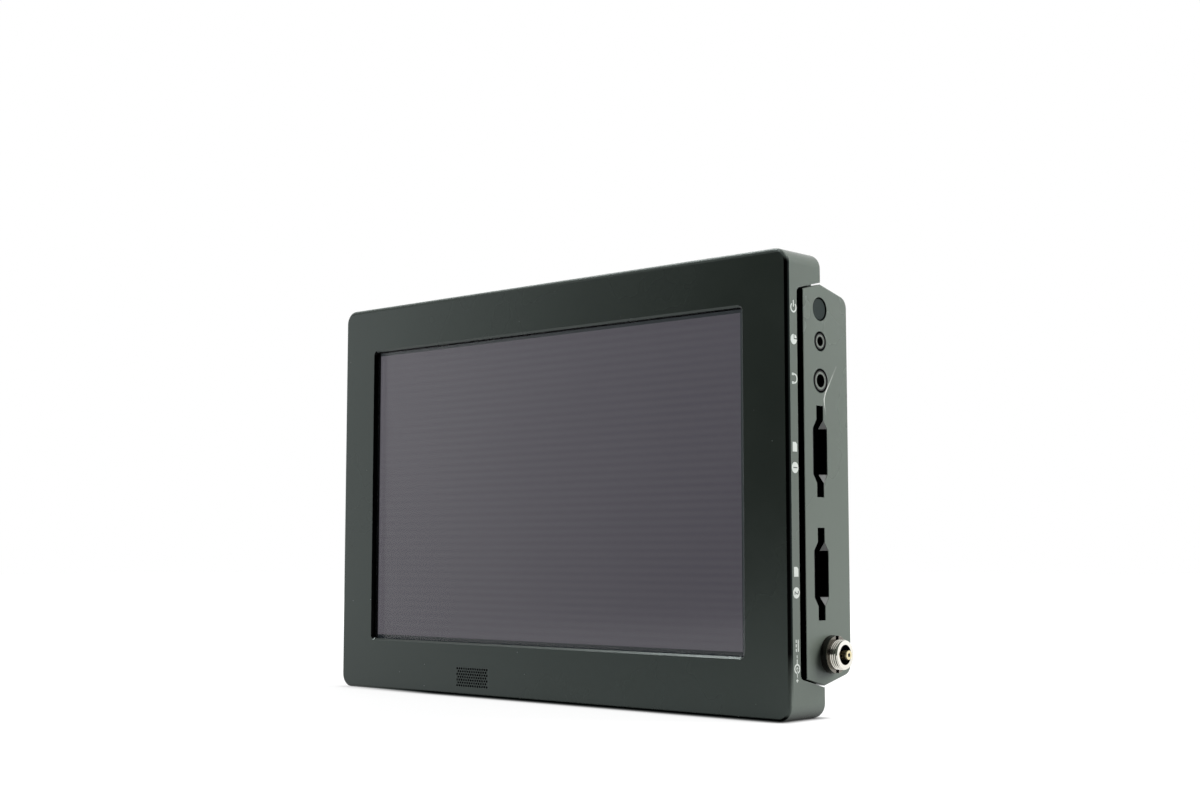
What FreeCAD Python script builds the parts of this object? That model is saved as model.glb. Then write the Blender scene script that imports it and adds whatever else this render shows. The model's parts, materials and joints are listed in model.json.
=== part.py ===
"""Recording monitor for film work: a 7-inch field display with card readers and two battery plates.

The origin is the mouth of the middle thread in the bottom edge, +X is the viewer's right, +Y points
from the screen to the back and +Z is up. All sizes are millimetres.
"""
import FreeCAD, Part
import os
import types
import Sketcher

# Driving sizes: sheet alias, value, what it measures
SIZES = (
    ("body_width", 186.4, "front housing from left to right"),
    ("body_height", 127.5, "front housing from bottom to top"),
    ("front_depth", 16.4, "front housing from face to rear edge"),
    ("corner_radius", 4.2, "outline corners of the front housing"),
    ("front_edge_round", 0.9, "rounding round the front face"),
    ("rear_edge_round", 0.6, "rounding round the housing's rear edge"),
    ("side_wall", 2.8, "side walls of the front housing"),
    ("face_wall", 1.5, "front face of the housing"),
    ("bezel_side", 15.4, "front face beside the screen"),
    ("bezel_top", 15.05, "front face above the screen"),
    ("bezel_bottom", 16.55, "front face below the screen"),
    ("opening_radius", 1.2, "corners of the screen opening"),
    ("opening_chamfer", 0.6, "bevel round the screen opening"),
    ("notch_front", 4.85, "face to the front edge of a side notch"),
    ("notch_gap", 0.5, "slit between a notch and its panel"),
    ("notch_round", 1.6, "inner corners of a side notch"),
    ("panel_thick", 3.0, "connector panel"),
    ("panel_inset", 0.2, "connector panel below the side wall's face"),
    ("panel_front", 7.9, "face to a panel's front edge"),
    ("panel_edge_round", 0.35, "outer edges of a panel"),
    ("panel_front_drop", 2.1, "panel's front corners inside the hump's peak"),
    ("rear_room", 13.5, "main board to the inside of the rear cover"),
    ("hump_top_margin", 8.5, "housing top to the hump's upper peak"),
    ("hump_bottom_margin", 8.8, "housing bottom to the hump's lower peak"),
    ("hump_rear_drop", 3.0, "hump's back edges inside its peak"),
    ("hump_rear_round", 3.3, "rounding of the hump's back edges"),
    ("cover_wall", 2.0, "wall of the rear cover"),
    ("column_margin", 0.6, "rear cover's wall to the first and last connector of the right side"),
    ("cover_clear", 0.15, "rear cover's flange to the housing wall"),
    ("flange_thick", 2.0, "rear cover's flange"),
    ("gasket_thick", 0.3, "screen gasket"),
    ("gasket_lip", 0.3, "gasket behind the edge of the opening"),
    ("gasket_inset", 0.5, "gasket inside the edge of the glass"),
    ("glass_thick", 1.1, "cover glass"),
    ("glass_gap", 0.5, "cover glass to the posts beside it"),
    ("glass_top_inset", 10.5, "housing top to the glass"),
    ("glass_bottom_inset", 12.0, "housing bottom to the glass"),
    ("lcd_inset", 2.0, "LCD panel inside the glass edge"),
    ("lcd_thick", 1.7, "LCD panel"),
    ("backlight_thick", 3.0, "backlight"),
    ("chassis_thick", 1.5, "display chassis"),
    ("chassis_gap", 1.8, "display chassis to the side wall"),
    ("post_inset", 4.6, "side wall to the axis of a chassis post"),
    ("post_radius", 2.8, "chassis post"),
    ("post_edge", 12.5, "outer chassis posts inside the glass edges"),
    ("small_screw_radius", 1.2, "shank of the chassis, cover and plate screws"),
    ("small_head_radius", 1.9, "head of those screws"),
    ("small_head_height", 1.3, "head of those screws"),
    ("small_screw_bite", 5.0, "thread of those screws in the housing"),
    ("hex_radius", 0.9, "hexagon socket in a screw head"),
    ("hex_depth", 0.8, "hexagon socket in a screw head"),
    ("tap_clear", 0.05, "screw shank to the hole that it threads into"),
    ("pass_clear", 0.15, "screw shank to the hole that it passes through"),
    ("insert_radius", 4.2, "threaded insert, outside"),
    ("insert_bore", 2.55, "threaded insert, core of a quarter inch thread"),
    ("insert_length", 6.5, "threaded insert"),
    ("insert_clear", 0.03, "threaded insert in its seat"),
    ("insert_inset", 28.0, "outer threads inside the connector panels"),
    ("boss_half", 6.5, "half width of an insert boss"),
    ("boss_floor", 1.5, "boss beyond the end of its insert"),
    ("cover_screw_inset", 10.0, "outer cover screws inside the connector panels"),
    ("cover_screw_share", 0.6, "inner cover screws as a share of the outer ones' distance"),
    ("cover_post_half", 2.9, "half size of a cover screw post"),
    ("grille_share", 0.3133, "speaker grille's middle, as a share of the half width"),
    ("grille_width", 15.0, "speaker grille"),
    ("grille_height", 6.0, "speaker grille"),
    ("grille_rise", 0.05, "speaker grille above the bottom wall"),
    ("grille_hole", 0.3, "radius of a grille hole"),
    ("grille_columns_pitch", 1.035, "grille holes along a row"),
    ("grille_rows_pitch", 0.88, "grille rows, one above another"),
    ("speaker_width", 18.0, "speaker driver"),
    ("speaker_height", 8.0, "speaker driver"),
    ("speaker_thick", 3.0, "speaker driver"),
    ("speaker_rise", 0.5, "speaker driver above the bottom wall"),
    ("foam_thick", 0.8, "foam gasket round the speaker"),
    ("foam_width", 1.0, "foam gasket's band"),
    ("cone_depth", 0.7, "recess of the speaker's membrane"),
    ("standoff_height", 2.9, "board standoff"),
    ("standoff_radius", 2.3, "board standoff"),
    ("standoff_x", 40.0, "board standoffs left and right of the middle"),
    ("standoff_inset", 6.0, "board standoffs from the board's top and bottom edges"),
    ("board_thick", 1.6, "main board"),
    ("board_gap", 2.2, "main board to the connector panels"),
    ("board_margin", 4.1, "main board inside the hump's peak"),
    ("board_screw_radius", 1.0, "board screw shank"),
    ("board_head_radius", 1.8, "board screw head"),
    ("board_head_height", 1.2, "board screw head"),
    ("board_screw_bite", 2.2, "board screw in its standoff"),
    ("chip_half", 13.0, "half width of the processor"),
    ("chip_thick", 1.2, "processor"),
    ("pad_thick", 0.4, "thermal pad"),
    ("sink_half", 24.0, "half width of the heat sink"),
    ("sink_base", 1.6, "base of the heat sink"),
    ("fin_thick", 1.2, "heat sink fin"),
    ("fin_gap", 0.2, "fin tips to the fan"),
    ("fan_share", 0.3267, "fan above the hump's middle as a share of its half height"),
    ("fan_half", 20.0, "half width of the fan frame"),
    ("fan_thick", 7.5, "fan frame"),
    ("fan_bore", 18.6, "radius of the fan's duct"),
    ("fan_tip_gap", 0.8, "blade tips to the duct"),
    ("fan_hub", 8.5, "radius of the rotor's hub"),
    ("fan_hub_wall", 0.8, "wall of the rotor's hub"),
    ("fan_web", 1.2, "fan spider at the exhaust"),
    ("fan_spoke_half", 1.2, "half width of a spider arm"),
    ("fan_end_gap", 0.5, "rotor to the frame's faces"),
    ("fan_shaft", 0.9, "radius of the rotor's shaft"),
    ("fan_bearing_clear", 0.04, "rotor shaft in its bush"),
    ("fan_bush", 2.2, "radius of the fan's bush"),
    ("fan_bush_length", 3.6, "fan's bush in front of the spider"),
    ("blade_thick", 0.9, "fan blade"),
    ("blade_half", 2.4, "half width of a blade seen along the axis"),
    ("fan_hole_inset", 3.0, "fan screws from the frame's edge"),
    ("fan_screw_radius", 0.9, "fan screw shank"),
    ("fan_head_radius", 1.7, "fan screw head"),
    ("fan_head_height", 0.9, "fan screw head"),
    ("fan_screw_bite", 1.4, "fan screw in the rear cover"),
    ("vent_half_width", 1.0, "half width of a vent slot"),
    ("vent_half_height", 15.0, "half height of a vent slot"),
    ("vent_pitch", 4.4, "vent slots from one to the next"),
    ("control_rise", 2.4, "button and jack axes above the board"),
    ("button_radius", 2.9, "power button"),
    ("button_clear", 0.3, "power button in the panel"),
    ("button_sink", 0.25, "power button below the panel's face"),
    ("button_flange", 3.9, "radius of the button's collar"),
    ("button_flange_thick", 1.0, "button's collar"),
    ("button_play", 0.1, "button's collar to the panel"),
    ("button_travel", 0.6, "power button's stroke"),
    ("stem_radius", 1.0, "button's stem"),
    ("stem_length", 2.0, "button's stem behind its collar"),
    ("stem_clear", 0.3, "button's stem in the switch"),
    ("switch_gap", 0.4, "switch to the pressed collar"),
    ("switch_length", 5.0, "power switch along the stem"),
    ("switch_half", 3.2, "half width of the power switch"),
    ("switch_height", 4.4, "power switch above the board"),
    ("switch_bore", 2.4, "depth of the switch's bore"),
    ("remote_bore", 1.3, "radius of the remote jack's bore"),
    ("remote_barrel", 2.2, "radius of the remote jack's barrel"),
    ("remote_half", 2.9, "half width of the remote jack"),
    ("phones_bore", 1.8, "radius of the headphone jack's bore"),
    ("phones_barrel", 2.8, "radius of the headphone jack's barrel"),
    ("phones_half", 3.4, "half width of the headphone jack"),
    ("jack_ring_gap", 0.45, "jack barrel to the panel"),
    ("jack_seat_gap", 0.2, "jack housing to the panel"),
    ("jack_length", 12.0, "jack housing along its axis"),
    ("jack_end_wall", 1.0, "closed end of a jack"),
    ("jack_height", 5.2, "jack housing above the board"),
    ("slot_half_length", 12.6, "half height of a card slot"),
    ("slot_half_width", 1.65, "half width of a card slot"),
    ("finger_half_length", 6.3, "half height of a finger notch"),
    ("finger_half_width", 3.4, "half width of a finger notch"),
    ("finger_slope", 2.4, "sloped end of a finger notch"),
    ("reader_height", 3.6, "card reader above the board"),
    ("reader_length", 28.0, "card reader from mouth to end"),
    ("reader_gap", 0.3, "card reader's mouth to the panel"),
    ("reader_wall", 0.5, "sheet metal and base of a card reader"),
    ("card_half_width", 12.3, "half of the reader's inside width"),
    ("card_room", 2.4, "reader's inside thickness"),
    ("slider_length", 4.0, "card slider"),
    ("slider_width", 9.0, "card slider"),
    ("slider_clear", 0.2, "card slider in its reader"),
    ("slider_travel", 3.0, "card slider's stroke"),
    ("slider_stop", 0.5, "pressed card slider to the reader's end"),
    ("socket_height", 5.9, "power socket above the board"),
    ("socket_barrel", 3.9, "radius of the power socket's barrel"),
    ("socket_bore", 2.75, "radius of the power socket's bore"),
    ("socket_proud", 4.6, "power socket beyond the panel"),
    ("socket_hole_clear", 0.12, "power socket's barrel in the panel"),
    ("socket_flange", 4.7, "radius of the power socket's flange"),
    ("socket_flange_thick", 1.2, "power socket's flange"),
    ("socket_tail", 7.0, "power socket's body behind its flange"),
    ("socket_floor", 3.5, "insulator at the bottom of the bore"),
    ("socket_pin", 1.25, "radius of the power socket's pin"),
    ("socket_pin_proud", 1.2, "power pin beyond the barrel's mouth"),
    ("socket_clear", 0.02, "pieces pressed together in a socket"),
    ("washer_thick", 0.4, "power socket's washer"),
    ("washer_radius", 5.2, "power socket's washer"),
    ("nut_thick", 1.6, "power socket's ring nut"),
    ("nut_radius", 5.1, "power socket's ring nut"),
    ("nut_slot_half", 0.7, "half width of a slot in the ring nut"),
    ("nut_slot_depth", 1.0, "slot across the ring nut's face"),
    ("coax_height", 6.5, "coaxial socket above the board"),
    ("coax_barrel", 4.82, "radius of a coaxial socket"),
    ("coax_bore", 4.05, "radius of a coaxial socket's bore"),
    ("coax_proud", 11.0, "coaxial socket beyond the panel"),
    ("coax_depth", 8.5, "bore of a coaxial socket"),
    ("coax_flange", 5.2, "half width of a coaxial socket's block"),
    ("coax_block", 9.0, "coaxial socket's block behind the panel"),
    ("coax_nut", 6.0, "corner radius of a coaxial socket's nut"),
    ("coax_nut_thick", 2.0, "coaxial socket's nut"),
    ("coax_lug", 0.95, "radius of a bayonet lug"),
    ("coax_lug_reach", 5.55, "bayonet lugs from the axis"),
    ("coax_lug_inset", 3.2, "bayonet lugs from the mouth"),
    ("coax_core", 2.4, "radius of the insulator in a coaxial socket"),
    ("coax_core_sink", 2.5, "insulator below the mouth"),
    ("coax_contact", 0.75, "radius of a coaxial contact"),
    ("coax_contact_bore", 0.45, "radius of the hole in a coaxial contact"),
    ("panel_clear", 0.12, "sockets in their panel holes"),
    ("digital_half", 7.4, "half height of a digital socket"),
    ("digital_height", 5.6, "digital socket above the board"),
    ("digital_length", 11.0, "digital socket from mouth to end"),
    ("digital_wall", 0.5, "shell of a digital socket"),
    ("digital_floor", 1.5, "closed end of a digital socket"),
    ("tongue_half", 5.8, "half height of a digital socket's tongue"),
    ("tongue_thick", 1.2, "tongue of a digital socket"),
    ("tongue_sink", 1.5, "tongue below the mouth"),
    ("data_half", 1.65, "half height of the data socket, which stands on edge"),
    ("data_height", 9.0, "data socket above the board"),
    ("data_length", 7.5, "data socket from mouth to end"),
    ("data_wall", 0.35, "shell of the data socket"),
    ("data_floor", 1.2, "closed end of the data socket"),
    ("data_tongue_half", 3.2, "half width of the data socket's tongue"),
    ("data_tongue_thick", 0.7, "tongue of the data socket"),
    ("data_tongue_sink", 0.6, "data tongue below the mouth"),
    ("socket_mouth_sink", 0.3, "shell sockets below the panel's face"),
    ("audio_height", 5.6, "audio socket above the board"),
    ("audio_radius", 4.9, "mini audio socket"),
    ("audio_bore", 3.7, "radius of a mini audio socket's bore"),
    ("audio_proud", 0.8, "mini audio socket beyond the panel"),
    ("audio_depth", 8.0, "bore of a mini audio socket"),
    ("audio_block", 9.0, "mini audio socket's block behind the panel"),
    ("audio_block_half", 5.3, "half width of a mini audio socket's block"),
    ("audio_pin", 0.45, "radius of an audio pin"),
    ("audio_pin_circle", 1.8, "audio pins from the axis"),
    ("audio_pin_length", 6.0, "audio pins in the bore"),
    ("ribbon_start", 8.0, "display ribbon's left edge from the middle"),
    ("ribbon_width", 18.0, "display ribbon"),
    ("ribbon_thick", 0.3, "display ribbon"),
    ("ribbon_dip", 3.0, "display ribbon below the LCD panel"),
    ("ribbon_rise", 5.0, "ribbon's connector above the chassis' lower edge"),
    ("ribbon_lead", 0.7, "display ribbon behind the front of the LCD panel"),
    ("connector_height", 3.5, "ribbon connector along the ribbon"),
    ("connector_thick", 1.6, "ribbon connector in front of the board"),
    ("connector_margin", 1.0, "ribbon connector beside the ribbon"),
    ("battery_share", 0.51111, "battery plate's middle, as a share of the way to the side panel"),
    ("plate_half_width", 22.0, "half width of a battery plate"),
    ("plate_half_height", 39.0, "half height of a battery plate"),
    ("plate_thick", 5.0, "battery plate"),
    ("plate_corner", 3.0, "corners of a battery plate"),
    ("plate_screw_x", 18.0, "plate screws from the plate's middle"),
    ("plate_screw_inset", 5.0, "plate screws from the plate's ends"),
    ("plate_screw_sink", 1.8, "counterbore of a plate screw"),
    ("plate_screw_tip", 0.2, "plate screw tip short of the cover's inside"),
    ("claw_inner", 19.6, "claws from the plate's middle"),
    ("claw_thick", 2.0, "post of a claw"),
    ("claw_height", 3.6, "claw above the plate"),
    ("claw_lip", 1.7, "lip of a claw, inwards"),
    ("claw_lip_thick", 1.3, "lip of a claw"),
    ("claw_half", 4.5, "half length of a claw"),
    ("claw_spread", 18.0, "claws above and below the plate's middle"),
    ("terminal_half_width", 10.0, "half width of a terminal block"),
    ("terminal_inset", 9.0, "terminal block from the plate's lower end"),
    ("terminal_length", 6.0, "terminal block along the plate"),
    ("terminal_height", 4.2, "terminal block above the plate"),
    ("contact_pitch", 6.0, "battery contacts from one to the next"),
    ("contact_thick", 0.8, "battery contact"),
    ("contact_length", 6.0, "battery contact out of its block"),
    ("contact_low", 0.9, "battery contact above the plate"),
    ("contact_high", 3.3, "battery contact's upper edge above the plate"),
    ("latch_inset", 7.0, "latch from the plate's upper end"),
    ("latch_half_width", 6.0, "half width of a latch"),
    ("latch_half_height", 2.25, "half height of a latch"),
    ("latch_proud", 2.0, "latch above the plate"),
    ("latch_bevel", 1.5, "lead-in of a latch"),
    ("latch_collar", 1.5, "collar of a latch beside its head"),
    ("latch_collar_thick", 1.0, "collar of a latch"),
    ("latch_clear", 0.3, "latch in its window"),
    ("latch_play", 0.1, "latch collar under its window"),
    ("latch_travel", 1.8, "latch's stroke"),
    ("window_wall", 1.2, "plate round the latch's window"),
    ("leaf_thick", 0.4, "leaf spring"),
    ("leaf_half_width", 6.5, "half length of a leaf spring"),
    ("leaf_half_height", 2.0, "half width of a leaf spring"),
    ("leaf_foot", 0.5, "foot of a leaf spring"),
    ("leaf_gap", 0.1, "leaf spring to the latch's collar"),
)

# Counts of repeated features
GRILLE_LONG_ROWS = 4
GRILLE_LONG_COLUMNS = 14
FIN_COUNT = 11
BLADE_COUNT = 7
VENT_COUNT = 9
CONTACTS_PER_BATTERY = 3
NUT_TURN = 30

# Free heights between the connectors of a panel, from the top down, as weights that share what is left over
RIGHT_GAP_WEIGHTS = (0.5, 2.2, 4.65, 3.35, 7.9, 3.85, 0.55)
LEFT_GAP_WEIGHTS = (0.7, 4.4, 3.6, 3.0, 4.6, 4.6, 3.4, 1.0)

SAME = 1e-4

doc = FreeCAD.newDocument("recording_monitor")
sheet = doc.addObject("Spreadsheet::Sheet", "Sizes")
for row, (alias, value, meaning) in enumerate(SIZES, start=1):
    sheet.set(f"A{row}", meaning)
    sheet.set(f"B{row}", str(value))
    sheet.setAlias(f"B{row}", alias)
doc.recompute()


class Formula:
    """A size worked out from the sheet: its present value and the expression that keeps it bound."""

    def __init__(self, value, text):
        self.value = value
        self.text = text

    def __add__(self, other):
        other = formula(other)
        return Formula(self.value + other.value, f"({self.text} + {other.text})")

    def __radd__(self, other):
        return formula(other) + self

    def __sub__(self, other):
        other = formula(other)
        return Formula(self.value - other.value, f"({self.text} - {other.text})")

    def __rsub__(self, other):
        return formula(other) - self

    def __mul__(self, other):
        other = formula(other)
        return Formula(self.value * other.value, f"({self.text} * {other.text})")

    def __rmul__(self, other):
        return formula(other) * self

    def __truediv__(self, other):
        other = formula(other)
        return Formula(self.value / other.value, f"({self.text} / {other.text})")

    def __neg__(self):
        return 0 - self


def formula(number):
    """A plain number as a formula."""
    return number if isinstance(number, Formula) else Formula(number, f"({number})")


size = types.SimpleNamespace(**{alias: Formula(value, f"Sizes.{alias}") for alias, value, _ in SIZES})


def bind(thing, path, length):
    thing.setExpression(path, formula(length).text)


# Part primitives and booleans
TURN_FROM_Z = {
    "x": FreeCAD.Rotation(FreeCAD.Vector(0, 1, 0), 90),
    "y": FreeCAD.Rotation(FreeCAD.Vector(1, 0, 0), -90),
    "z": FreeCAD.Rotation(),
}


def box(name, x, y, z):
    """A block given by its low and high side along each axis."""
    solid = doc.addObject("Part::Box", name)
    for edge, axis, (low, high) in zip(("Length", "Width", "Height"), "xyz", (x, y, z)):
        bind(solid, edge, high - low)
        bind(solid, f"Placement.Base.{axis}", low)
    return solid


def along(axis, centre, span):
    """Start point of something that runs along an axis through centre, the other two coordinates."""
    place = list(centre)
    place.insert("xyz".index(axis), span[0])
    return place


def stand(solid, axis, centre, span):
    """Turn a primitive that grows along Z to grow along another axis, from span's start to its end."""
    solid.Placement = FreeCAD.Placement(FreeCAD.Vector(), TURN_FROM_Z[axis])
    bind(solid, "Height", span[1] - span[0])
    for letter, place in zip("xyz", along(axis, centre, span)):
        bind(solid, f"Placement.Base.{letter}", place)
    return solid


def rod(name, axis, centre, span, radius):
    solid = doc.addObject("Part::Cylinder", name)
    bind(solid, "Radius", radius)
    return stand(solid, axis, centre, span)


def hexagon(name, axis, centre, span, radius, twist=0):
    solid = doc.addObject("Part::Prism", name)
    solid.Polygon = 6
    bind(solid, "Circumradius", radius)
    stand(solid, axis, centre, span)
    solid.Placement.Rotation = TURN_FROM_Z[axis] * FreeCAD.Rotation(FreeCAD.Vector(0, 0, 1), twist)
    return solid


def join(name, solids):
    whole = doc.addObject("Part::MultiFuse", name)
    whole.Shapes = solids
    whole.Refine = True
    return whole


def carve(name, base, tools):
    cutter = tools[0] if len(tools) == 1 else gather(f"{name}_tools", tools)
    result = doc.addObject("Part::Cut", name)
    result.Base = base
    result.Tool = cutter
    return result


def gather(name, solids):
    """Several separate solids kept as one group."""
    group = doc.addObject("Part::Compound", name)
    group.Links = solids
    return group


def tube(name, axis, centre, span, outer, bore):
    return carve(name, rod(f"{name}_outside", axis, centre, span, outer),
                 [rod(f"{name}_bore", axis, centre, span, bore)])


# Sketches and PartDesign bodies
def pin_point(sketch, edge, end, u, v):
    """Hold a point of a sketch at two bound distances from the sketch's origin.

    Sketcher counts the sketch's horizontal axis as -1 and its vertical one as -2; their origin is point 1 of -1.
    """
    for kind, axis_line, distance in (("DistanceX", -2, u), ("DistanceY", -1, v)):
        distance = formula(distance)
        if abs(distance.value) < SAME:
            sketch.addConstraint(Sketcher.Constraint("PointOnObject", edge, end, axis_line))
            continue
        ends = (-1, 1, edge, end)
        if distance.value < 0:
            distance = -distance
            ends = (edge, end, -1, 1)
        number = sketch.addConstraint(Sketcher.Constraint(kind, *ends, distance.value))
        bind(sketch, f"Constraints[{number}]", distance)


def add_polygon(sketch, corners):
    first = sketch.GeometryCount
    points = [FreeCAD.Vector(formula(u).value, formula(v).value, 0) for u, v in corners]
    sides = list(zip(points, points[1:] + points[:1]))
    sketch.addGeometry([Part.LineSegment(start, end) for start, end in sides], False)
    for number in range(len(sides)):
        following = (number + 1) % len(sides)
        sketch.addConstraint(Sketcher.Constraint("Coincident", first + number, 2, first + following, 1))
    for number, (u, v) in enumerate(corners):
        pin_point(sketch, first + number, 1, u, v)


def add_circle(sketch, u, v, radius):
    middle = FreeCAD.Vector(formula(u).value, formula(v).value, 0)
    edge = sketch.addGeometry(Part.Circle(middle, FreeCAD.Vector(0, 0, 1), radius.value), False)
    pin_point(sketch, edge, 3, u, v)
    number = sketch.addConstraint(Sketcher.Constraint("Radius", edge, radius.value))
    bind(sketch, f"Constraints[{number}]", radius)


def rectangle(u, v):
    return [(u[0], v[0]), (u[1], v[0]), (u[1], v[1]), (u[0], v[1])]


PLANE_ACROSS = {"x": "YZ_Plane", "y": "XZ_Plane", "z": "XY_Plane"}
CIRCLE_FIELDS = 3


class Piece:
    """A PartDesign body that is padded, pocketed and softened along the three axes.

    Outlines are corner lists or (u, v, radius) circles: (y, z) across x, (x, z) across y, (x, y) across z.
    """

    def __init__(self, name):
        self.body = doc.addObject("PartDesign::Body", name)

    def plane(self, role):
        return next(item for item in self.body.Origin.OriginFeatures if item.Role == role)

    def sketch(self, axis, level, outlines):
        drawing = self.body.newObject("Sketcher::SketchObject", "Outline")
        drawing.AttachmentSupport = (self.plane(PLANE_ACROSS[axis]), [""])
        drawing.MapMode = "FlatFace"
        bind(drawing, "AttachmentOffset.Base.z", -level if axis == "y" else level)
        for outline in outlines:
            if len(outline) == CIRCLE_FIELDS and isinstance(outline, tuple):
                add_circle(drawing, *outline)
            else:
                add_polygon(drawing, outline)
        return drawing

    def extrude(self, kind, axis, span, outlines, turned):
        drawing = self.sketch(axis, formula(span[0]), outlines)
        feature = self.body.newObject(f"PartDesign::{kind}", kind)
        feature.Profile = drawing
        feature.Reversed = turned
        bind(feature, "Length", span[1] - span[0])
        doc.recompute()
        return feature

    def pad(self, axis, span, outlines):
        return self.extrude("Pad", axis, span, outlines, axis == "y")

    def pocket(self, axis, span, outlines):
        before = self.body.Shape.Volume
        feature = self.extrude("Pocket", axis, span, outlines, axis != "y")
        if self.body.Shape.Volume > before - SAME:
            raise RuntimeError(f"{self.body.Label}: a pocket cut nothing")
        return feature

    def soften(self, kind, measure, length, wanted):
        tip = self.body.Tip
        names = [f"Edge{number}" for number, edge in enumerate(tip.Shape.Edges, start=1) if wanted(edge)]
        if not names:
            raise RuntimeError(f"{self.body.Label}: no edge to soften")
        feature = self.body.newObject(f"PartDesign::{kind}", kind)
        feature.Base = (tip, names)
        bind(feature, measure, length)
        doc.recompute()

    def fillet(self, radius, wanted):
        self.soften("Fillet", "Radius", radius, wanted)

    def chamfer(self, width, wanted):
        self.soften("Chamfer", "Size", width, wanted)

    def repeat_round(self, feature, axis_role, count):
        """Copies of a feature all the way round one of the body's axes."""
        pattern = self.body.newObject("PartDesign::PolarPattern", "Ring")
        pattern.Originals = [feature]
        pattern.Axis = (self.plane(axis_role), [""])
        pattern.Angle = 360
        pattern.Occurrences = count
        self.body.Tip = pattern
        doc.recompute()


def runs_along(axis, *places):
    """Test for straight edges along an axis at one of the places, each the other two coordinates."""
    def wanted(edge):
        low, high = (vertex.Point for vertex in (edge.Vertexes[0], edge.Vertexes[-1]))
        direction = "xyz".index(axis)
        others = [index for index in range(3) if index != direction]
        if any(abs(low[index] - high[index]) > SAME for index in others):
            return False
        return any(all(abs(low[index] - formula(value).value) < SAME for index, value in zip(others, place))
                   for place in places)
    return wanted


def lies_in(axis, level, within=None):
    """Test for edges that lie wholly in a plane across an axis, inside a box (u, v) where one is given."""
    def wanted(edge):
        hull = edge.BoundBox
        spans = [(hull.XMin, hull.XMax), (hull.YMin, hull.YMax), (hull.ZMin, hull.ZMax)]
        across = spans.pop("xyz".index(axis))
        if any(abs(end - formula(level).value) > SAME for end in across):
            return False
        if within is None:
            return True
        return all(formula(low).value - SAME <= span[0] and span[1] <= formula(high).value + SAME
                   for span, (low, high) in zip(spans, within))
    return wanted


nodes = []


def publish(name, thing):
    thing.Label = name
    nodes.append(thing)


def screw(name, centre, seat, head, shank, reach, points=-1):
    """A socket screw along Y whose head sits on the level seat; points is the way its tip points."""
    head_radius, head_height = head
    top = seat - points * head_height
    tip = seat + points * reach

    def ordered(one, other):
        return (one, other) if one.value < other.value else (other, one)
    whole = join(f"{name}_blank", [
        rod(f"{name}_head", "y", centre, ordered(seat, top), head_radius),
        rod(f"{name}_shank", "y", centre, ordered(seat - points * head_height / 2, tip), shank)])
    floor = top + points * size.hex_depth
    return carve(name, whole, [hexagon(f"{name}_hex", "y", centre, ordered(top, floor), size.hex_radius)])


# Levels from the front face to the back
FRONT = -size.front_depth / 2
REAR = size.front_depth / 2
FACE_BACK = FRONT + size.face_wall
GLASS_FRONT = FACE_BACK + size.gasket_thick
GLASS_BACK = GLASS_FRONT + size.glass_thick
LCD_BACK = GLASS_BACK + size.lcd_thick
LIGHT_BACK = LCD_BACK + size.backlight_thick
CHASSIS_BACK = LIGHT_BACK + size.chassis_thick
BOARD_FRONT = CHASSIS_BACK + size.standoff_height
BOARD_BACK = BOARD_FRONT + size.board_thick
FLANGE_FRONT = REAR - size.flange_thick
NOTCH_FRONT = FRONT + size.notch_front
PANEL_FRONT = FRONT + size.panel_front
COVER_INSIDE = BOARD_BACK + size.rear_room
BACK = COVER_INSIDE + size.cover_wall
PLATE_BACK = BACK + size.plate_thick

# Levels from the middle to the sides
SIDE = size.body_width / 2
CAVITY_SIDE = SIDE - size.side_wall
PANEL_OUTSIDE = SIDE - size.panel_inset
PANEL_INSIDE = PANEL_OUTSIDE - size.panel_thick
OPENING_SIDE = SIDE - size.bezel_side
GRILLE_X = size.grille_share * SIDE
BATTERY_X = size.battery_share * PANEL_INSIDE
POST_X = CAVITY_SIDE - size.post_inset
GLASS_SIDE = POST_X - size.post_radius - size.glass_gap
LCD_SIDE = GLASS_SIDE - size.lcd_inset
CHASSIS_SIDE = CAVITY_SIDE - size.chassis_gap
BOARD_SIDE = PANEL_INSIDE - size.board_gap

# Levels from the bottom to the top
TOP = size.body_height
CAVITY_LOW = size.side_wall
CAVITY_TOP = TOP - size.side_wall
OPENING_LOW = size.bezel_bottom
OPENING_TOP = TOP - size.bezel_top
SCREEN_Z = (OPENING_LOW + OPENING_TOP) / 2
GLASS_LOW = size.glass_bottom_inset
GLASS_TOP = TOP - size.glass_top_inset
LCD_LOW = GLASS_LOW + size.lcd_inset
LCD_TOP = GLASS_TOP - size.lcd_inset
HUMP_TOP = TOP - size.hump_top_margin
HUMP_LOW = size.hump_bottom_margin
HUMP_Z = (HUMP_TOP + HUMP_LOW) / 2
PEAK_HALF = (HUMP_TOP - HUMP_LOW) / 2
PANEL_FRONT_HALF = PEAK_HALF - size.panel_front_drop
REAR_HALF = PEAK_HALF - size.hump_rear_drop
BOARD_HALF = PEAK_HALF - size.board_margin
POST_HEIGHTS = (GLASS_LOW + size.post_edge, SCREEN_Z, GLASS_TOP - size.post_edge)
COVER_SCREW_TOP = (HUMP_TOP + CAVITY_TOP - size.cover_clear) / 2
COVER_SCREW_LOW = (HUMP_LOW + CAVITY_LOW + size.cover_clear) / 2
FAN_Z = HUMP_Z + size.fan_share * PEAK_HALF



def spread(top, bottom, pieces, weights):
    """Middle heights of a column of pieces, from the top down, with the free height shared out by weight."""
    free = top - bottom - sum(pieces)
    edge = top
    middles = []
    for height, weight in zip(pieces, weights):
        edge = edge - free * (weight / sum(weights)) - height
        middles.append(edge + height / 2)
    return middles


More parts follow.
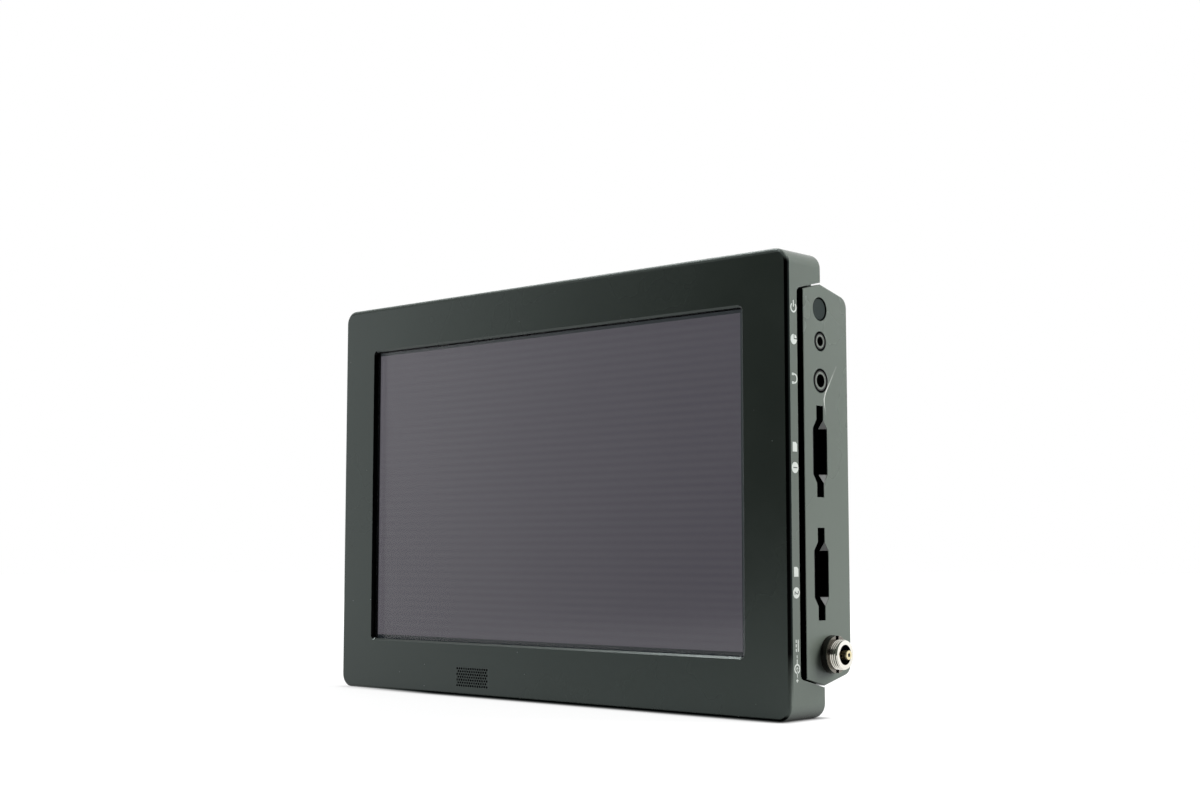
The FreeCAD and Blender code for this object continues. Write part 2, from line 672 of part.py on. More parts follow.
# Axes of the connectors
CONTROL_Y = BOARD_BACK + size.control_rise
CARD_Y = BOARD_BACK + size.reader_height / 2
SOCKET_Y = BOARD_BACK + size.socket_height
COAX_Y = BOARD_BACK + size.coax_height
DIGITAL_Y = BOARD_BACK + size.digital_height / 2
DATA_Y = BOARD_BACK + size.data_height / 2
AUDIO_Y = BOARD_BACK + size.audio_height
READER_HALF = size.card_half_width + size.reader_wall
RIGHT_COLUMN = [2 * half for half in (size.button_flange, size.remote_half, size.phones_half, READER_HALF,
                                      READER_HALF, size.washer_radius)]
COLUMN_END = size.cover_wall + size.column_margin
POWER_Z, REMOTE_Z, PHONES_Z, UPPER_SLOT_Z, LOWER_SLOT_Z, SOCKET_Z = spread(
    HUMP_TOP - COLUMN_END, HUMP_LOW + COLUMN_END, RIGHT_COLUMN, RIGHT_GAP_WEIGHTS)
LEFT_COLUMN = [2 * half for half in (size.coax_flange, size.coax_flange, size.digital_half, size.digital_half,
                                     size.data_half, size.audio_block_half, size.audio_block_half)]
COVER_SLOPE = size.hump_rear_drop + size.cover_wall
LEFT_HEIGHTS = spread(HUMP_TOP - COVER_SLOPE, HUMP_LOW + COVER_SLOPE, LEFT_COLUMN, LEFT_GAP_WEIGHTS)
COAX_HEIGHTS = dict(zip(("in", "out"), LEFT_HEIGHTS[0:2]))
DIGITAL_HEIGHTS = dict(zip(("in", "out"), LEFT_HEIGHTS[2:4]))
DATA_Z = LEFT_HEIGHTS[4]
AUDIO_HEIGHTS = dict(zip(("1", "2"), LEFT_HEIGHTS[5:7]))

INSERT_PITCH = PANEL_INSIDE - size.insert_inset
INSERT_PLACES = (-INSERT_PITCH, formula(0), INSERT_PITCH)
COVER_SCREW_OUTER = PANEL_INSIDE - size.cover_screw_inset
COVER_SCREW_INNER = COVER_SCREW_OUTER * size.cover_screw_share
COVER_SCREW_PLACES = (-COVER_SCREW_OUTER, -COVER_SCREW_INNER, COVER_SCREW_INNER, COVER_SCREW_OUTER)
SIDES = {"left": -1, "right": 1}
FULL_WIDTH = (-SIDE, SIDE)
SMALL_HEAD = (size.small_head_radius, size.small_head_height)


def hump_half(level):
    """Half height of the hump's front slope, which a panel and its notch share, at a level along Y."""
    slope = (PEAK_HALF - PANEL_FRONT_HALF) / (REAR - PANEL_FRONT)
    return PANEL_FRONT_HALF + slope * (level - PANEL_FRONT)


def make_front_housing():
    piece = Piece("front_housing")
    piece.pad("y", (FRONT, REAR), [rectangle(FULL_WIDTH, (0, TOP))])
    corners = [(x, z) for x in FULL_WIDTH for z in (0, TOP)]
    piece.fillet(size.corner_radius, runs_along("y", *corners))
    piece.fillet(size.rear_edge_round, lies_in("y", REAR))
    piece.fillet(size.front_edge_round, lies_in("y", FRONT))
    piece.pocket("y", (FACE_BACK, REAR),
                 [rectangle((-CAVITY_SIDE, CAVITY_SIDE), (CAVITY_LOW, CAVITY_TOP))])

    opening = ((-OPENING_SIDE, OPENING_SIDE), (OPENING_LOW, OPENING_TOP))
    piece.pocket("y", (FRONT, FACE_BACK), [rectangle(*opening)])
    piece.fillet(size.opening_radius, runs_along("y", *[(x, z) for x in opening[0] for z in opening[1]]))
    piece.chamfer(size.opening_chamfer, lies_in("y", FRONT, opening))
    piece.pocket("y", (FRONT, FACE_BACK), [rectangle(*grille_outline())])
    cut_side_notches(piece)

    for low, high in ((CAVITY_TOP, TOP - size.insert_length - size.boss_floor),
                      (CAVITY_LOW, size.insert_length + size.boss_floor)):
        piece.pad("y", (FACE_BACK, FLANGE_FRONT),
                  [rectangle((x - size.boss_half, x + size.boss_half), (low, high)) for x in INSERT_PLACES])
    for wall, height, way in ((CAVITY_TOP, COVER_SCREW_TOP, -1), (CAVITY_LOW, COVER_SCREW_LOW, 1)):
        end = height + way * size.cover_post_half
        piece.pad("y", (FACE_BACK, FLANGE_FRONT),
                  [rectangle((x - size.cover_post_half, x + size.cover_post_half), (wall, end))
                   for x in COVER_SCREW_PLACES])
    posts = [(x, z) for x in (-POST_X, POST_X) for z in POST_HEIGHTS]
    piece.pad("y", (FACE_BACK, LIGHT_BACK), [(x, z, size.post_radius) for x, z in posts])

    seat = size.insert_radius + size.insert_clear
    for span in ((0, size.insert_length), (TOP - size.insert_length, TOP)):
        piece.pocket("z", span, [(x, 0, seat) for x in INSERT_PLACES])
    tapped = size.small_screw_radius + size.tap_clear
    piece.pocket("y", (LIGHT_BACK - size.small_screw_bite, LIGHT_BACK), [(x, z, tapped) for x, z in posts])
    piece.pocket("y", (FLANGE_FRONT - size.small_screw_bite - size.tap_clear, FLANGE_FRONT),
                 [(x, z, tapped) for x in COVER_SCREW_PLACES for z in (COVER_SCREW_LOW, COVER_SCREW_TOP)])
    publish("front_housing", piece.body)


def cut_side_notches(piece):
    """Notches in the side walls that the connector panels sit in, open to the rear."""
    front_half = hump_half(NOTCH_FRONT) + size.notch_gap
    rear_half = hump_half(REAR) + size.notch_gap
    outline = [(NOTCH_FRONT, HUMP_Z - front_half), (REAR, HUMP_Z - rear_half),
               (REAR, HUMP_Z + rear_half), (NOTCH_FRONT, HUMP_Z + front_half)]
    for span in ((CAVITY_SIDE, SIDE), (-SIDE, -CAVITY_SIDE)):
        piece.pocket("x", span, [outline])
    inner = [(NOTCH_FRONT, HUMP_Z + sign * front_half) for sign in (-1, 1)]
    piece.fillet(size.notch_round, runs_along("x", *inner))


def grille_outline():
    middle = -GRILLE_X
    low = CAVITY_LOW + size.grille_rise
    return (middle - size.grille_width / 2, middle + size.grille_width / 2), (low, low + size.grille_height)


def make_speaker():
    """Perforated grille in the face, foam ring and driver behind it."""
    across, upright = grille_outline()
    grille = Piece("speaker_grille")
    grille.pad("y", (FRONT, FACE_BACK), [rectangle(across, upright)])
    centre = ((across[0] + across[1]) / 2, (upright[0] + upright[1]) / 2)
    rows = 2 * GRILLE_LONG_ROWS - 1
    for row_number in range(rows):
        columns = GRILLE_LONG_COLUMNS - row_number % 2
        height = centre[1] + (row_number - (rows - 1) / 2) * size.grille_rows_pitch
        holes = [(centre[0] + (number - (columns - 1) / 2) * size.grille_columns_pitch, height, size.grille_hole)
                 for number in range(columns)]
        grille.pocket("y", (FRONT, FACE_BACK), holes)
    publish("speaker_grille", grille.body)

    sides = (-GRILLE_X - size.speaker_width / 2, -GRILLE_X + size.speaker_width / 2)
    low = CAVITY_LOW + size.speaker_rise
    heights = (low, low + size.speaker_height)
    foam_back = FACE_BACK + size.foam_thick
    driver_back = foam_back + size.speaker_thick
    inside = [(start + size.foam_width, end - size.foam_width) for start, end in (sides, heights)]
    foam = carve("foam_ring", box("foam_blank", sides, (FACE_BACK, foam_back), heights),
                 [box("foam_hole", inside[0], (FACE_BACK, foam_back), inside[1])])
    publish("speaker_gasket", foam)
    driver = carve("driver", box("driver_blank", sides, (foam_back, driver_back), heights),
                   [box("driver_cone", inside[0], (foam_back, foam_back + size.cone_depth), inside[1])])
    publish("speaker_driver", driver)


def make_screen():
    """Gasket, cover glass, LCD panel, backlight and the chassis that clamps them to the housing."""
    glass = ((-GLASS_SIDE, GLASS_SIDE), (GLASS_LOW, GLASS_TOP))
    band = [(start + size.gasket_inset, end - size.gasket_inset) for start, end in glass]
    hole = ((-OPENING_SIDE - size.gasket_lip, OPENING_SIDE + size.gasket_lip),
            (OPENING_LOW - size.gasket_lip, OPENING_TOP + size.gasket_lip))
    level = (FACE_BACK, GLASS_FRONT)
    publish("screen_gasket", carve("gasket", box("gasket_blank", band[0], level, band[1]),
                                   [box("gasket_hole", hole[0], level, hole[1])]))
    publish("cover_glass", box("glass", glass[0], (GLASS_FRONT, GLASS_BACK), glass[1]))
    lcd = ((-LCD_SIDE, LCD_SIDE), (LCD_LOW, LCD_TOP))
    publish("lcd_panel", box("lcd", lcd[0], (GLASS_BACK, LCD_BACK), lcd[1]))
    publish("backlight", box("light_guide", lcd[0], (LCD_BACK, LIGHT_BACK), lcd[1]))

    piece = Piece("display_chassis")
    piece.pad("y", (LIGHT_BACK, CHASSIS_BACK),
              [rectangle((-CHASSIS_SIDE, CHASSIS_SIDE), (GLASS_LOW, GLASS_TOP))])
    posts = [(x, z) for x in (-POST_X, POST_X) for z in POST_HEIGHTS]
    passage = size.small_screw_radius + size.pass_clear
    piece.pocket("y", (LIGHT_BACK, CHASSIS_BACK), [(x, z, passage) for x, z in posts])
    publish("display_chassis", piece.body)
    reach = size.chassis_thick + size.small_screw_bite - size.tap_clear
    screws = [screw(f"chassis_screw_{number}", place, CHASSIS_BACK, SMALL_HEAD, size.small_screw_radius, reach)
              for number, place in enumerate(posts)]
    publish("chassis_screws", gather("chassis_screw_set", screws))


def make_ribbon():
    """Flat cable from the LCD panel's lower edge, under the chassis, up to a connector on the board."""
    start = GLASS_BACK + size.ribbon_lead
    bottom = LCD_LOW - size.ribbon_dip
    connector_low = GLASS_LOW + size.ribbon_rise
    back = BOARD_FRONT - size.connector_thick / 2
    thick = size.ribbon_thick
    outline = [(start, LCD_LOW), (start, bottom), (back + thick, bottom), (back + thick, connector_low),
               (back, connector_low), (back, bottom + thick), (start + thick, bottom + thick),
               (start + thick, LCD_LOW)]
    piece = Piece("display_ribbon")
    ends = (size.ribbon_start, size.ribbon_start + size.ribbon_width)
    piece.pad("x", ends, [outline])
    publish("display_ribbon", piece.body)
    publish("ribbon_connector", box(
        "connector", (ends[0] - size.connector_margin, ends[1] + size.connector_margin),
        (BOARD_FRONT - size.connector_thick, BOARD_FRONT),
        (connector_low, connector_low + size.connector_height)))


def make_thread_inserts():
    rings = []
    for number, x in enumerate(INSERT_PLACES):
        for edge, span in (("low", (0, size.insert_length)), ("top", (TOP - size.insert_length, TOP))):
            rings.append(tube(f"insert_{edge}_{number}", "z", (x, 0), span, size.insert_radius, size.insert_bore))
    publish("thread_inserts", gather("insert_set", rings))


def panel_blank(name, side):
    """The six-cornered side plate, closed: its outline is the hump's end."""
    piece = Piece(name)
    span = (PANEL_INSIDE, PANEL_OUTSIDE) if side > 0 else (-PANEL_OUTSIDE, -PANEL_INSIDE)
    outline = [(PANEL_FRONT, HUMP_Z - PANEL_FRONT_HALF), (REAR, HUMP_LOW),
               (BACK, HUMP_Z - REAR_HALF), (BACK, HUMP_Z + REAR_HALF),
               (REAR, HUMP_TOP), (PANEL_FRONT, HUMP_Z + PANEL_FRONT_HALF)]
    piece.pad("x", span, [outline])
    rear = [(BACK, HUMP_Z + sign * REAR_HALF) for sign in (-1, 1)]
    piece.fillet(size.hump_rear_round, runs_along("x", *rear))
    piece.fillet(size.panel_edge_round, lies_in("x", side * PANEL_OUTSIDE))
    return piece, span


def card_slot_outline(middle_z):
    """A narrow slot with a wide finger notch in its middle, sloped into the slot at both ends."""
    corners = [(size.slot_half_width, size.slot_half_length),
               (size.slot_half_width, size.finger_half_length + size.finger_slope),
               (size.finger_half_width, size.finger_half_length)]
    right_half = [(u, -v) for u, v in corners] + [(u, v) for u, v in reversed(corners)]
    left_half = [(-u, -v) for u, v in reversed(right_half)]
    left_half = [(u, -v) for u, v in left_half]
    return [(CARD_Y + u, middle_z + v) for u, v in right_half + left_half]


def make_right_panel():
    piece, span = panel_blank("right_panel", SIDES["right"])
    ring = size.jack_ring_gap
    piece.pocket("x", span, [(CONTROL_Y, POWER_Z, size.button_radius + size.button_clear),
                             (CONTROL_Y, REMOTE_Z, size.remote_barrel + ring),
                             (CONTROL_Y, PHONES_Z, size.phones_barrel + ring),
                             (SOCKET_Y, SOCKET_Z, size.socket_barrel + size.socket_hole_clear)])
    piece.pocket("x", span, [card_slot_outline(UPPER_SLOT_Z), card_slot_outline(LOWER_SLOT_Z)])
    publish("right_panel", piece.body)


def make_left_panel():
    piece, span = panel_blank("left_panel", SIDES["left"])
    clear = size.panel_clear
    round_holes = [(COAX_Y, z, size.coax_barrel + clear) for z in COAX_HEIGHTS.values()]
    round_holes += [(AUDIO_Y, z, size.audio_radius + clear) for z in AUDIO_HEIGHTS.values()]
    piece.pocket("x", span, round_holes)
    shells = [(DIGITAL_Y, z, size.digital_height / 2, size.digital_half) for z in DIGITAL_HEIGHTS.values()]
    shells.append((DATA_Y, DATA_Z, size.data_height / 2, size.data_half))
    piece.pocket("x", span, [rectangle((y - half_y - clear, y + half_y + clear),
                                       (z - half_z - clear, z + half_z + clear))
                             for y, z, half_y, half_z in shells])
    publish("left_panel", piece.body)


def plate_screw_places():
    reach_z = size.plate_half_height - size.plate_screw_inset
    return [(side * BATTERY_X + across * size.plate_screw_x, HUMP_Z + up * reach_z)
            for side in SIDES.values() for across in (-1, 1) for up in (-1, 1)]


def fan_screw_places():
    reach = size.fan_half - size.fan_hole_inset
    return [(across * reach, FAN_Z + up * reach) for across in (-1, 1) for up in (-1, 1)]


def make_rear_cover():
    """The hump, open at both ends where the panels close it, with flanges that close the housing."""
    piece = Piece("rear_cover")
    peak, rear, wall = PEAK_HALF, REAR_HALF, size.cover_wall
    outside = [(FLANGE_FRONT, HUMP_Z - peak), (REAR, HUMP_Z - peak), (BACK, HUMP_Z - rear),
               (BACK, HUMP_Z + rear), (REAR, HUMP_Z + peak), (FLANGE_FRONT, HUMP_Z + peak)]
    ends = (-PANEL_INSIDE, PANEL_INSIDE)
    piece.pad("x", ends, [outside])
    piece.fillet(size.hump_rear_round, runs_along("x", (BACK, HUMP_Z - rear), (BACK, HUMP_Z + rear)))
    inside = [(FLANGE_FRONT, HUMP_Z - peak + wall), (REAR, HUMP_Z - peak + wall),
              (COVER_INSIDE, HUMP_Z - rear + wall), (COVER_INSIDE, HUMP_Z + rear - wall),
              (REAR, HUMP_Z + peak - wall), (FLANGE_FRONT, HUMP_Z + peak - wall)]
    piece.pocket("x", ends, [inside])

    flange_side = PANEL_INSIDE - size.cover_clear
    strips = ((HUMP_TOP - wall / 2, CAVITY_TOP - size.cover_clear),
              (CAVITY_LOW + size.cover_clear, HUMP_LOW + wall / 2))
    for strip in strips:
        piece.pad("y", (FLANGE_FRONT, REAR), [rectangle((-flange_side, flange_side), strip)])
    passage = size.small_screw_radius + size.pass_clear
    piece.pocket("y", (FLANGE_FRONT, REAR),
                 [(x, z, passage) for x in COVER_SCREW_PLACES for z in (COVER_SCREW_LOW, COVER_SCREW_TOP)])

    slots = [(number - (VENT_COUNT - 1) / 2) * size.vent_pitch for number in range(VENT_COUNT)]
    piece.pocket("y", (COVER_INSIDE, BACK),
                 [rectangle((x - size.vent_half_width, x + size.vent_half_width),
                            (FAN_Z - size.vent_half_height, FAN_Z + size.vent_half_height)) for x in slots])
    tapped = size.small_screw_radius + size.tap_clear
    piece.pocket("y", (COVER_INSIDE, BACK), [(x, z, tapped) for x, z in plate_screw_places()])
    pilot = size.fan_screw_radius + size.tap_clear
    piece.pocket("y", (COVER_INSIDE, COVER_INSIDE + size.fan_screw_bite + size.tap_clear),
                 [(x, z, pilot) for x, z in fan_screw_places()])
    publish("rear_cover", piece.body)

    reach = size.flange_thick + size.small_screw_bite
    places = [(x, z) for x in COVER_SCREW_PLACES for z in (COVER_SCREW_LOW, COVER_SCREW_TOP)]
    screws = [screw(f"cover_screw_{number}", place, REAR, SMALL_HEAD, size.small_screw_radius, reach)
              for number, place in enumerate(places)]
    publish("cover_screws", gather("cover_screw_set", screws))


def make_main_board():
    heights = (HUMP_Z - BOARD_HALF, HUMP_Z + BOARD_HALF)
    holes = [(side * size.standoff_x, z) for side in SIDES.values()
             for z in (heights[0] + size.standoff_inset, heights[1] - size.standoff_inset)]
    piece = Piece("main_board")
    piece.pad("y", (BOARD_FRONT, BOARD_BACK), [rectangle((-BOARD_SIDE, BOARD_SIDE), heights)])
    passage = size.board_screw_radius + size.pass_clear
    piece.pocket("y", (BOARD_FRONT, BOARD_BACK), [(x, z, passage) for x, z in holes])
    publish("main_board", piece.body)

    tapped = size.board_screw_radius + size.tap_clear
    posts = [tube(f"standoff_{number}", "y", place, (CHASSIS_BACK, BOARD_FRONT), size.standoff_radius, tapped)
             for number, place in enumerate(holes)]
    publish("board_standoffs", gather("standoff_set", posts))
    head = (size.board_head_radius, size.board_head_height)
    reach = size.board_thick + size.board_screw_bite
    screws = [screw(f"board_screw_{number}", place, BOARD_BACK, head, size.board_screw_radius, reach)
              for number, place in enumerate(holes)]
    publish("board_screws", gather("board_screw_set", screws))


def make_cooling():
    """Processor, pad and finned heat sink on the board, with a fan against the rear cover's vents."""
    chip_back = BOARD_BACK + size.chip_thick
    pad_back = chip_back + size.pad_thick
    base_back = pad_back + size.sink_base
    fan_front = COVER_INSIDE - size.fan_thick
    chip = ((-size.chip_half, size.chip_half), (FAN_Z - size.chip_half, FAN_Z + size.chip_half))
    publish("processor", box("chip", chip[0], (BOARD_BACK, chip_back), chip[1]))
    publish("thermal_pad", box("pad", chip[0], (chip_back, pad_back), chip[1]))
    heights = (FAN_Z - size.sink_half, FAN_Z + size.sink_half)
    sink = Piece("heat_sink")
    sink.pad("y", (pad_back, base_back), [rectangle((-size.sink_half, size.sink_half), heights)])
    pitch = (2 * size.sink_half - size.fin_thick) / (FIN_COUNT - 1)
    starts = [number * pitch - size.sink_half for number in range(FIN_COUNT)]
    sink.pad("y", (base_back, fan_front - size.fin_gap),
             [rectangle((x, x + size.fin_thick), heights) for x in starts])
    publish("heat_sink", sink.body)
    make_fan(fan_front)


def make_fan(fan_front):
    web_front = COVER_INSIDE - size.fan_web
    bush_front = web_front - size.fan_bush_length
    spider = size.fan_hub - size.fan_hub_wall
    frame = Piece("fan_frame")
    heights = (FAN_Z - size.fan_half, FAN_Z + size.fan_half)
    frame.pad("y", (fan_front, COVER_INSIDE), [rectangle((-size.fan_half, size.fan_half), heights)])
    frame.pocket("y", (fan_front, COVER_INSIDE), [(0, FAN_Z, size.fan_bore)])
    arm = size.fan_spoke_half
    frame.pad("y", (web_front, COVER_INSIDE),
              [rectangle((-size.fan_half + arm, size.fan_half - arm), (FAN_Z - arm, FAN_Z + arm))])
    frame.pad("y", (web_front, COVER_INSIDE), [(0, FAN_Z, spider)])
    frame.pad("y", (bush_front, web_front), [(0, FAN_Z, size.fan_bush)])
    frame.pocket("y", (bush_front, COVER_INSIDE), [(0, FAN_Z, size.fan_shaft + size.fan_bearing_clear)])
    passage = size.fan_screw_radius + size.pass_clear
    frame.pocket("y", (fan_front, COVER_INSIDE), [(x, z, passage) for x, z in fan_screw_places()])
    head_room = size.fan_head_radius + size.pass_clear
    frame.pocket("y", (fan_front, fan_front + size.fan_head_height),
                 [(x, z, head_room) for x, z in fan_screw_places()])
    publish("fan_frame", frame.body)

    head = (size.fan_head_radius, size.fan_head_height)
    seat = fan_front + size.fan_head_height
    reach = size.fan_thick - size.fan_head_height + size.fan_screw_bite
    screws = [screw(f"fan_screw_{number}", place, seat, head, size.fan_screw_radius, reach, points=1)
              for number, place in enumerate(fan_screw_places())]
    publish("fan_screws", gather("fan_screw_set", screws))

    rotor = Piece("fan_rotor")
    rotor_front = fan_front + size.fan_end_gap
    rotor_back = web_front - size.fan_end_gap
    cup_floor = rotor_front + size.fan_hub_wall
    rotor.pad("y", (rotor_front, rotor_back), [(0, 0, size.fan_hub)])
    rotor.pocket("y", (cup_floor, rotor_back), [(0, 0, size.fan_hub - size.fan_hub_wall)])
    rotor.pad("y", (cup_floor, web_front), [(0, 0, size.fan_shaft)])
    root = size.fan_hub - size.fan_hub_wall / 2
    tip = size.fan_bore - size.fan_tip_gap
    thick = size.blade_thick
    blade = [(rotor_front, -size.blade_half), (rotor_front + thick, -size.blade_half),
             (rotor_back, size.blade_half), (rotor_back - thick, size.blade_half)]
    feature = rotor.pad("x", (root, tip), [blade])
    rotor.repeat_round(feature, "Y_Axis", BLADE_COUNT)
    bind(rotor.body, "Placement.Base.z", FAN_Z)
    publish("fan_rotor", rotor.body)


def make_power_button():
    face = PANEL_OUTSIDE - size.button_sink
    collar_out = PANEL_INSIDE - size.button_play
    collar_in = collar_out - size.button_flange_thick
    stem_end = collar_in - size.stem_length
    axis = (CONTROL_Y, POWER_Z)
    cap = join("button_shape", [rod("button_cap", "x", axis, (collar_in, face), size.button_radius),
                                rod("button_collar", "x", axis, (collar_in, collar_out), size.button_flange),
                                rod("button_stem", "x", axis, (stem_end, face), size.stem_radius)])
    publish("power_button", cap)
    front = collar_in - size.button_travel - size.switch_gap
    end = front - size.switch_length
    housing = box("switch_blank", (end, front), (BOARD_BACK, BOARD_BACK + size.switch_height),
                  (POWER_Z - size.switch_half, POWER_Z + size.switch_half))
    bore = rod("switch_hole", "x", axis, (front - size.switch_bore, front), size.stem_radius + size.stem_clear)
    publish("power_switch", carve("switch_shape", housing, [bore]))


def make_jacks():
    """Two audio style jacks: a housing on the board with a barrel that ends flush in the panel."""
    mouth = PANEL_INSIDE - size.jack_seat_gap
    end = mouth - size.jack_length
    for name, height, half, barrel, bore in (
            ("headphone_jack", PHONES_Z, size.phones_half, size.phones_barrel, size.phones_bore),
            ("remote_jack", REMOTE_Z, size.remote_half, size.remote_barrel, size.remote_bore)):
        axis = (CONTROL_Y, height)
        blank = join(f"{name}_blank", [
            box(f"{name}_housing", (end, mouth), (BOARD_BACK, BOARD_BACK + size.jack_height),
                (height - half, height + half)),
            rod(f"{name}_barrel", "x", axis, (mouth - size.jack_end_wall, PANEL_OUTSIDE), barrel)])
        hole = rod(f"{name}_hole", "x", axis, (end + size.jack_end_wall, PANEL_OUTSIDE), bore)
        publish(name, carve(f"{name}_shape", blank, [hole]))


def make_card_readers():
    mouth = PANEL_INSIDE - size.reader_gap
    end = mouth - size.reader_length
    inner_end = end + size.reader_wall
    room = (CARD_Y - size.card_room / 2, CARD_Y + size.card_room / 2)
    for name, middle in (("upper", UPPER_SLOT_Z), ("lower", LOWER_SLOT_Z)):
        half = size.card_half_width
        shell = box(f"reader_{name}_blank", (end, mouth), (BOARD_BACK, BOARD_BACK + size.reader_height),
                    (middle - READER_HALF, middle + READER_HALF))
        inside = box(f"reader_{name}_room", (inner_end, mouth), room, (middle - half, middle + half))
        publish(f"card_reader_{name}", carve(f"reader_{name}_shape", shell, [inside]))
        slider_end = inner_end + size.slider_stop + size.slider_travel
        low = middle - half + size.slider_clear
        publish(f"card_slider_{name}", box(
            f"slider_{name}_shape", (slider_end, slider_end + size.slider_length),
            (room[0] + size.slider_clear, room[1] - size.slider_clear), (low, low + size.slider_width)))


def make_power_socket():
    """Threaded barrel through the panel, held by a washer and a slotted ring nut."""
    axis = (SOCKET_Y, SOCKET_Z)
    mouth = PANEL_OUTSIDE + size.socket_proud
    flange_in = PANEL_INSIDE - size.socket_flange_thick
    tail = flange_in - size.socket_tail
    blank = join("socket_blank", [
        rod("socket_tube", "x", axis, (tail, mouth), size.socket_barrel),
        rod("socket_collar", "x", axis, (flange_in, PANEL_INSIDE), size.socket_flange)])
    publish("power_socket_barrel", carve("socket_shape", blank, [
        rod("socket_hole", "x", axis, (tail, mouth), size.socket_bore)]))
    floor = (tail, tail + size.socket_floor)
    publish("power_socket_insulator", tube("socket_floor_ring", "x", axis, floor,
                                           size.socket_bore - size.socket_clear,
                                           size.socket_pin + size.socket_clear))
    publish("power_socket_pin", rod("socket_pin_rod", "x", axis, (tail, mouth + size.socket_pin_proud),
                                    size.socket_pin))
    washer = (PANEL_OUTSIDE, PANEL_OUTSIDE + size.washer_thick)
    hole = size.socket_barrel + size.socket_clear
    publish("power_socket_washer", tube("socket_washer_ring", "x", axis, washer, size.washer_radius, hole))
    nut = (washer[1], washer[1] + size.nut_thick)
    slot = box("nut_slot", (nut[1] - size.nut_slot_depth, nut[1]),
               (SOCKET_Y - size.nut_slot_half, SOCKET_Y + size.nut_slot_half),
               (SOCKET_Z - size.nut_radius, SOCKET_Z + size.nut_radius))
    ring = tube("nut_ring", "x", axis, nut, size.nut_radius, hole)
    publish("power_socket_nut", carve("nut_shape", ring, [slot]))


def make_coax_sockets():
    """Two coaxial video sockets with bayonet lugs, each behind a hexagon nut on the left panel."""
    nuts, cores, contacts = [], [], []
    mouth = -PANEL_OUTSIDE - size.coax_proud
    floor = mouth + size.coax_depth
    for name, height in COAX_HEIGHTS.items():
        axis = (COAX_Y, height)
        lug_x = mouth + size.coax_lug_inset
        block = box(f"coax_{name}_block", (-PANEL_INSIDE, -PANEL_INSIDE + size.coax_block),
                    (BOARD_BACK, COAX_Y + size.coax_flange),
                    (height - size.coax_flange, height + size.coax_flange))
        blank = join(f"coax_{name}_blank", [
            block,
            rod(f"coax_{name}_barrel", "x", axis, (mouth, -PANEL_INSIDE), size.coax_barrel),
            rod(f"coax_{name}_lugs", "z", (lug_x, COAX_Y),
                (height - size.coax_lug_reach, height + size.coax_lug_reach), size.coax_lug)])
        publish(f"coax_socket_{name}", carve(f"coax_{name}_shape", blank, [
            rod(f"coax_{name}_bore", "x", axis, (mouth, floor), size.coax_bore)]))
        nut_span = (-PANEL_OUTSIDE - size.coax_nut_thick, -PANEL_OUTSIDE)
        nut_blank = hexagon(f"coax_nut_{name}_blank", "x", axis, nut_span, size.coax_nut, NUT_TURN)
        nuts.append(carve(f"coax_nut_{name}", nut_blank,
                          [rod(f"coax_nut_{name}_hole", "x", axis, nut_span, size.coax_barrel + size.socket_clear)]))
        core_span = (mouth + size.coax_core_sink, floor)
        cores.append(tube(f"coax_core_{name}", "x", axis, core_span, size.coax_core,
                          size.coax_contact + size.socket_clear))
        contacts.append(tube(f"coax_contact_{name}", "x", axis, core_span, size.coax_contact,
                             size.coax_contact_bore))
    publish("coax_nuts", gather("coax_nut_set", nuts))
    publish("coax_insulators", gather("coax_core_set", cores))
    publish("coax_contacts", gather("coax_contact_set", contacts))


def shell_socket(name, centre, height, half, length, wall, floor):
    """A sheet metal socket on the board with its mouth in the left panel."""
    y, z = centre
    mouth = -PANEL_OUTSIDE + size.socket_mouth_sink
    blank = box(f"{name}_blank", (mouth, mouth + length), (BOARD_BACK, BOARD_BACK + height), (z - half, z + half))
    room = box(f"{name}_room", (mouth, mouth + length - floor), (y - height / 2 + wall, y + height / 2 - wall),
               (z - half + wall, z + half - wall))
    publish(name, carve(f"{name}_shape", blank, [room]))
    return mouth, mouth + length - floor


def make_left_sockets():
    tongues = []
    for name, height in DIGITAL_HEIGHTS.items():
        mouth, floor = shell_socket(f"digital_socket_{name}", (DIGITAL_Y, height), size.digital_height,
                                    size.digital_half, size.digital_length, size.digital_wall, size.digital_floor)
        tongues.append(box(f"digital_tongue_{name}", (mouth + size.tongue_sink, floor),
                           (DIGITAL_Y - size.tongue_thick / 2, DIGITAL_Y + size.tongue_thick / 2),
                           (height - size.tongue_half, height + size.tongue_half)))
    publish("digital_tongues", gather("digital_tongue_set", tongues))
    mouth, floor = shell_socket("data_socket", (DATA_Y, DATA_Z), size.data_height, size.data_half,
                                size.data_length, size.data_wall, size.data_floor)
    publish("data_tongue", box("data_tongue_shape", (mouth + size.data_tongue_sink, floor),
                               (DATA_Y - size.data_tongue_half, DATA_Y + size.data_tongue_half),
                               (DATA_Z - size.data_tongue_thick / 2, DATA_Z + size.data_tongue_thick / 2)))
    make_audio_sockets()


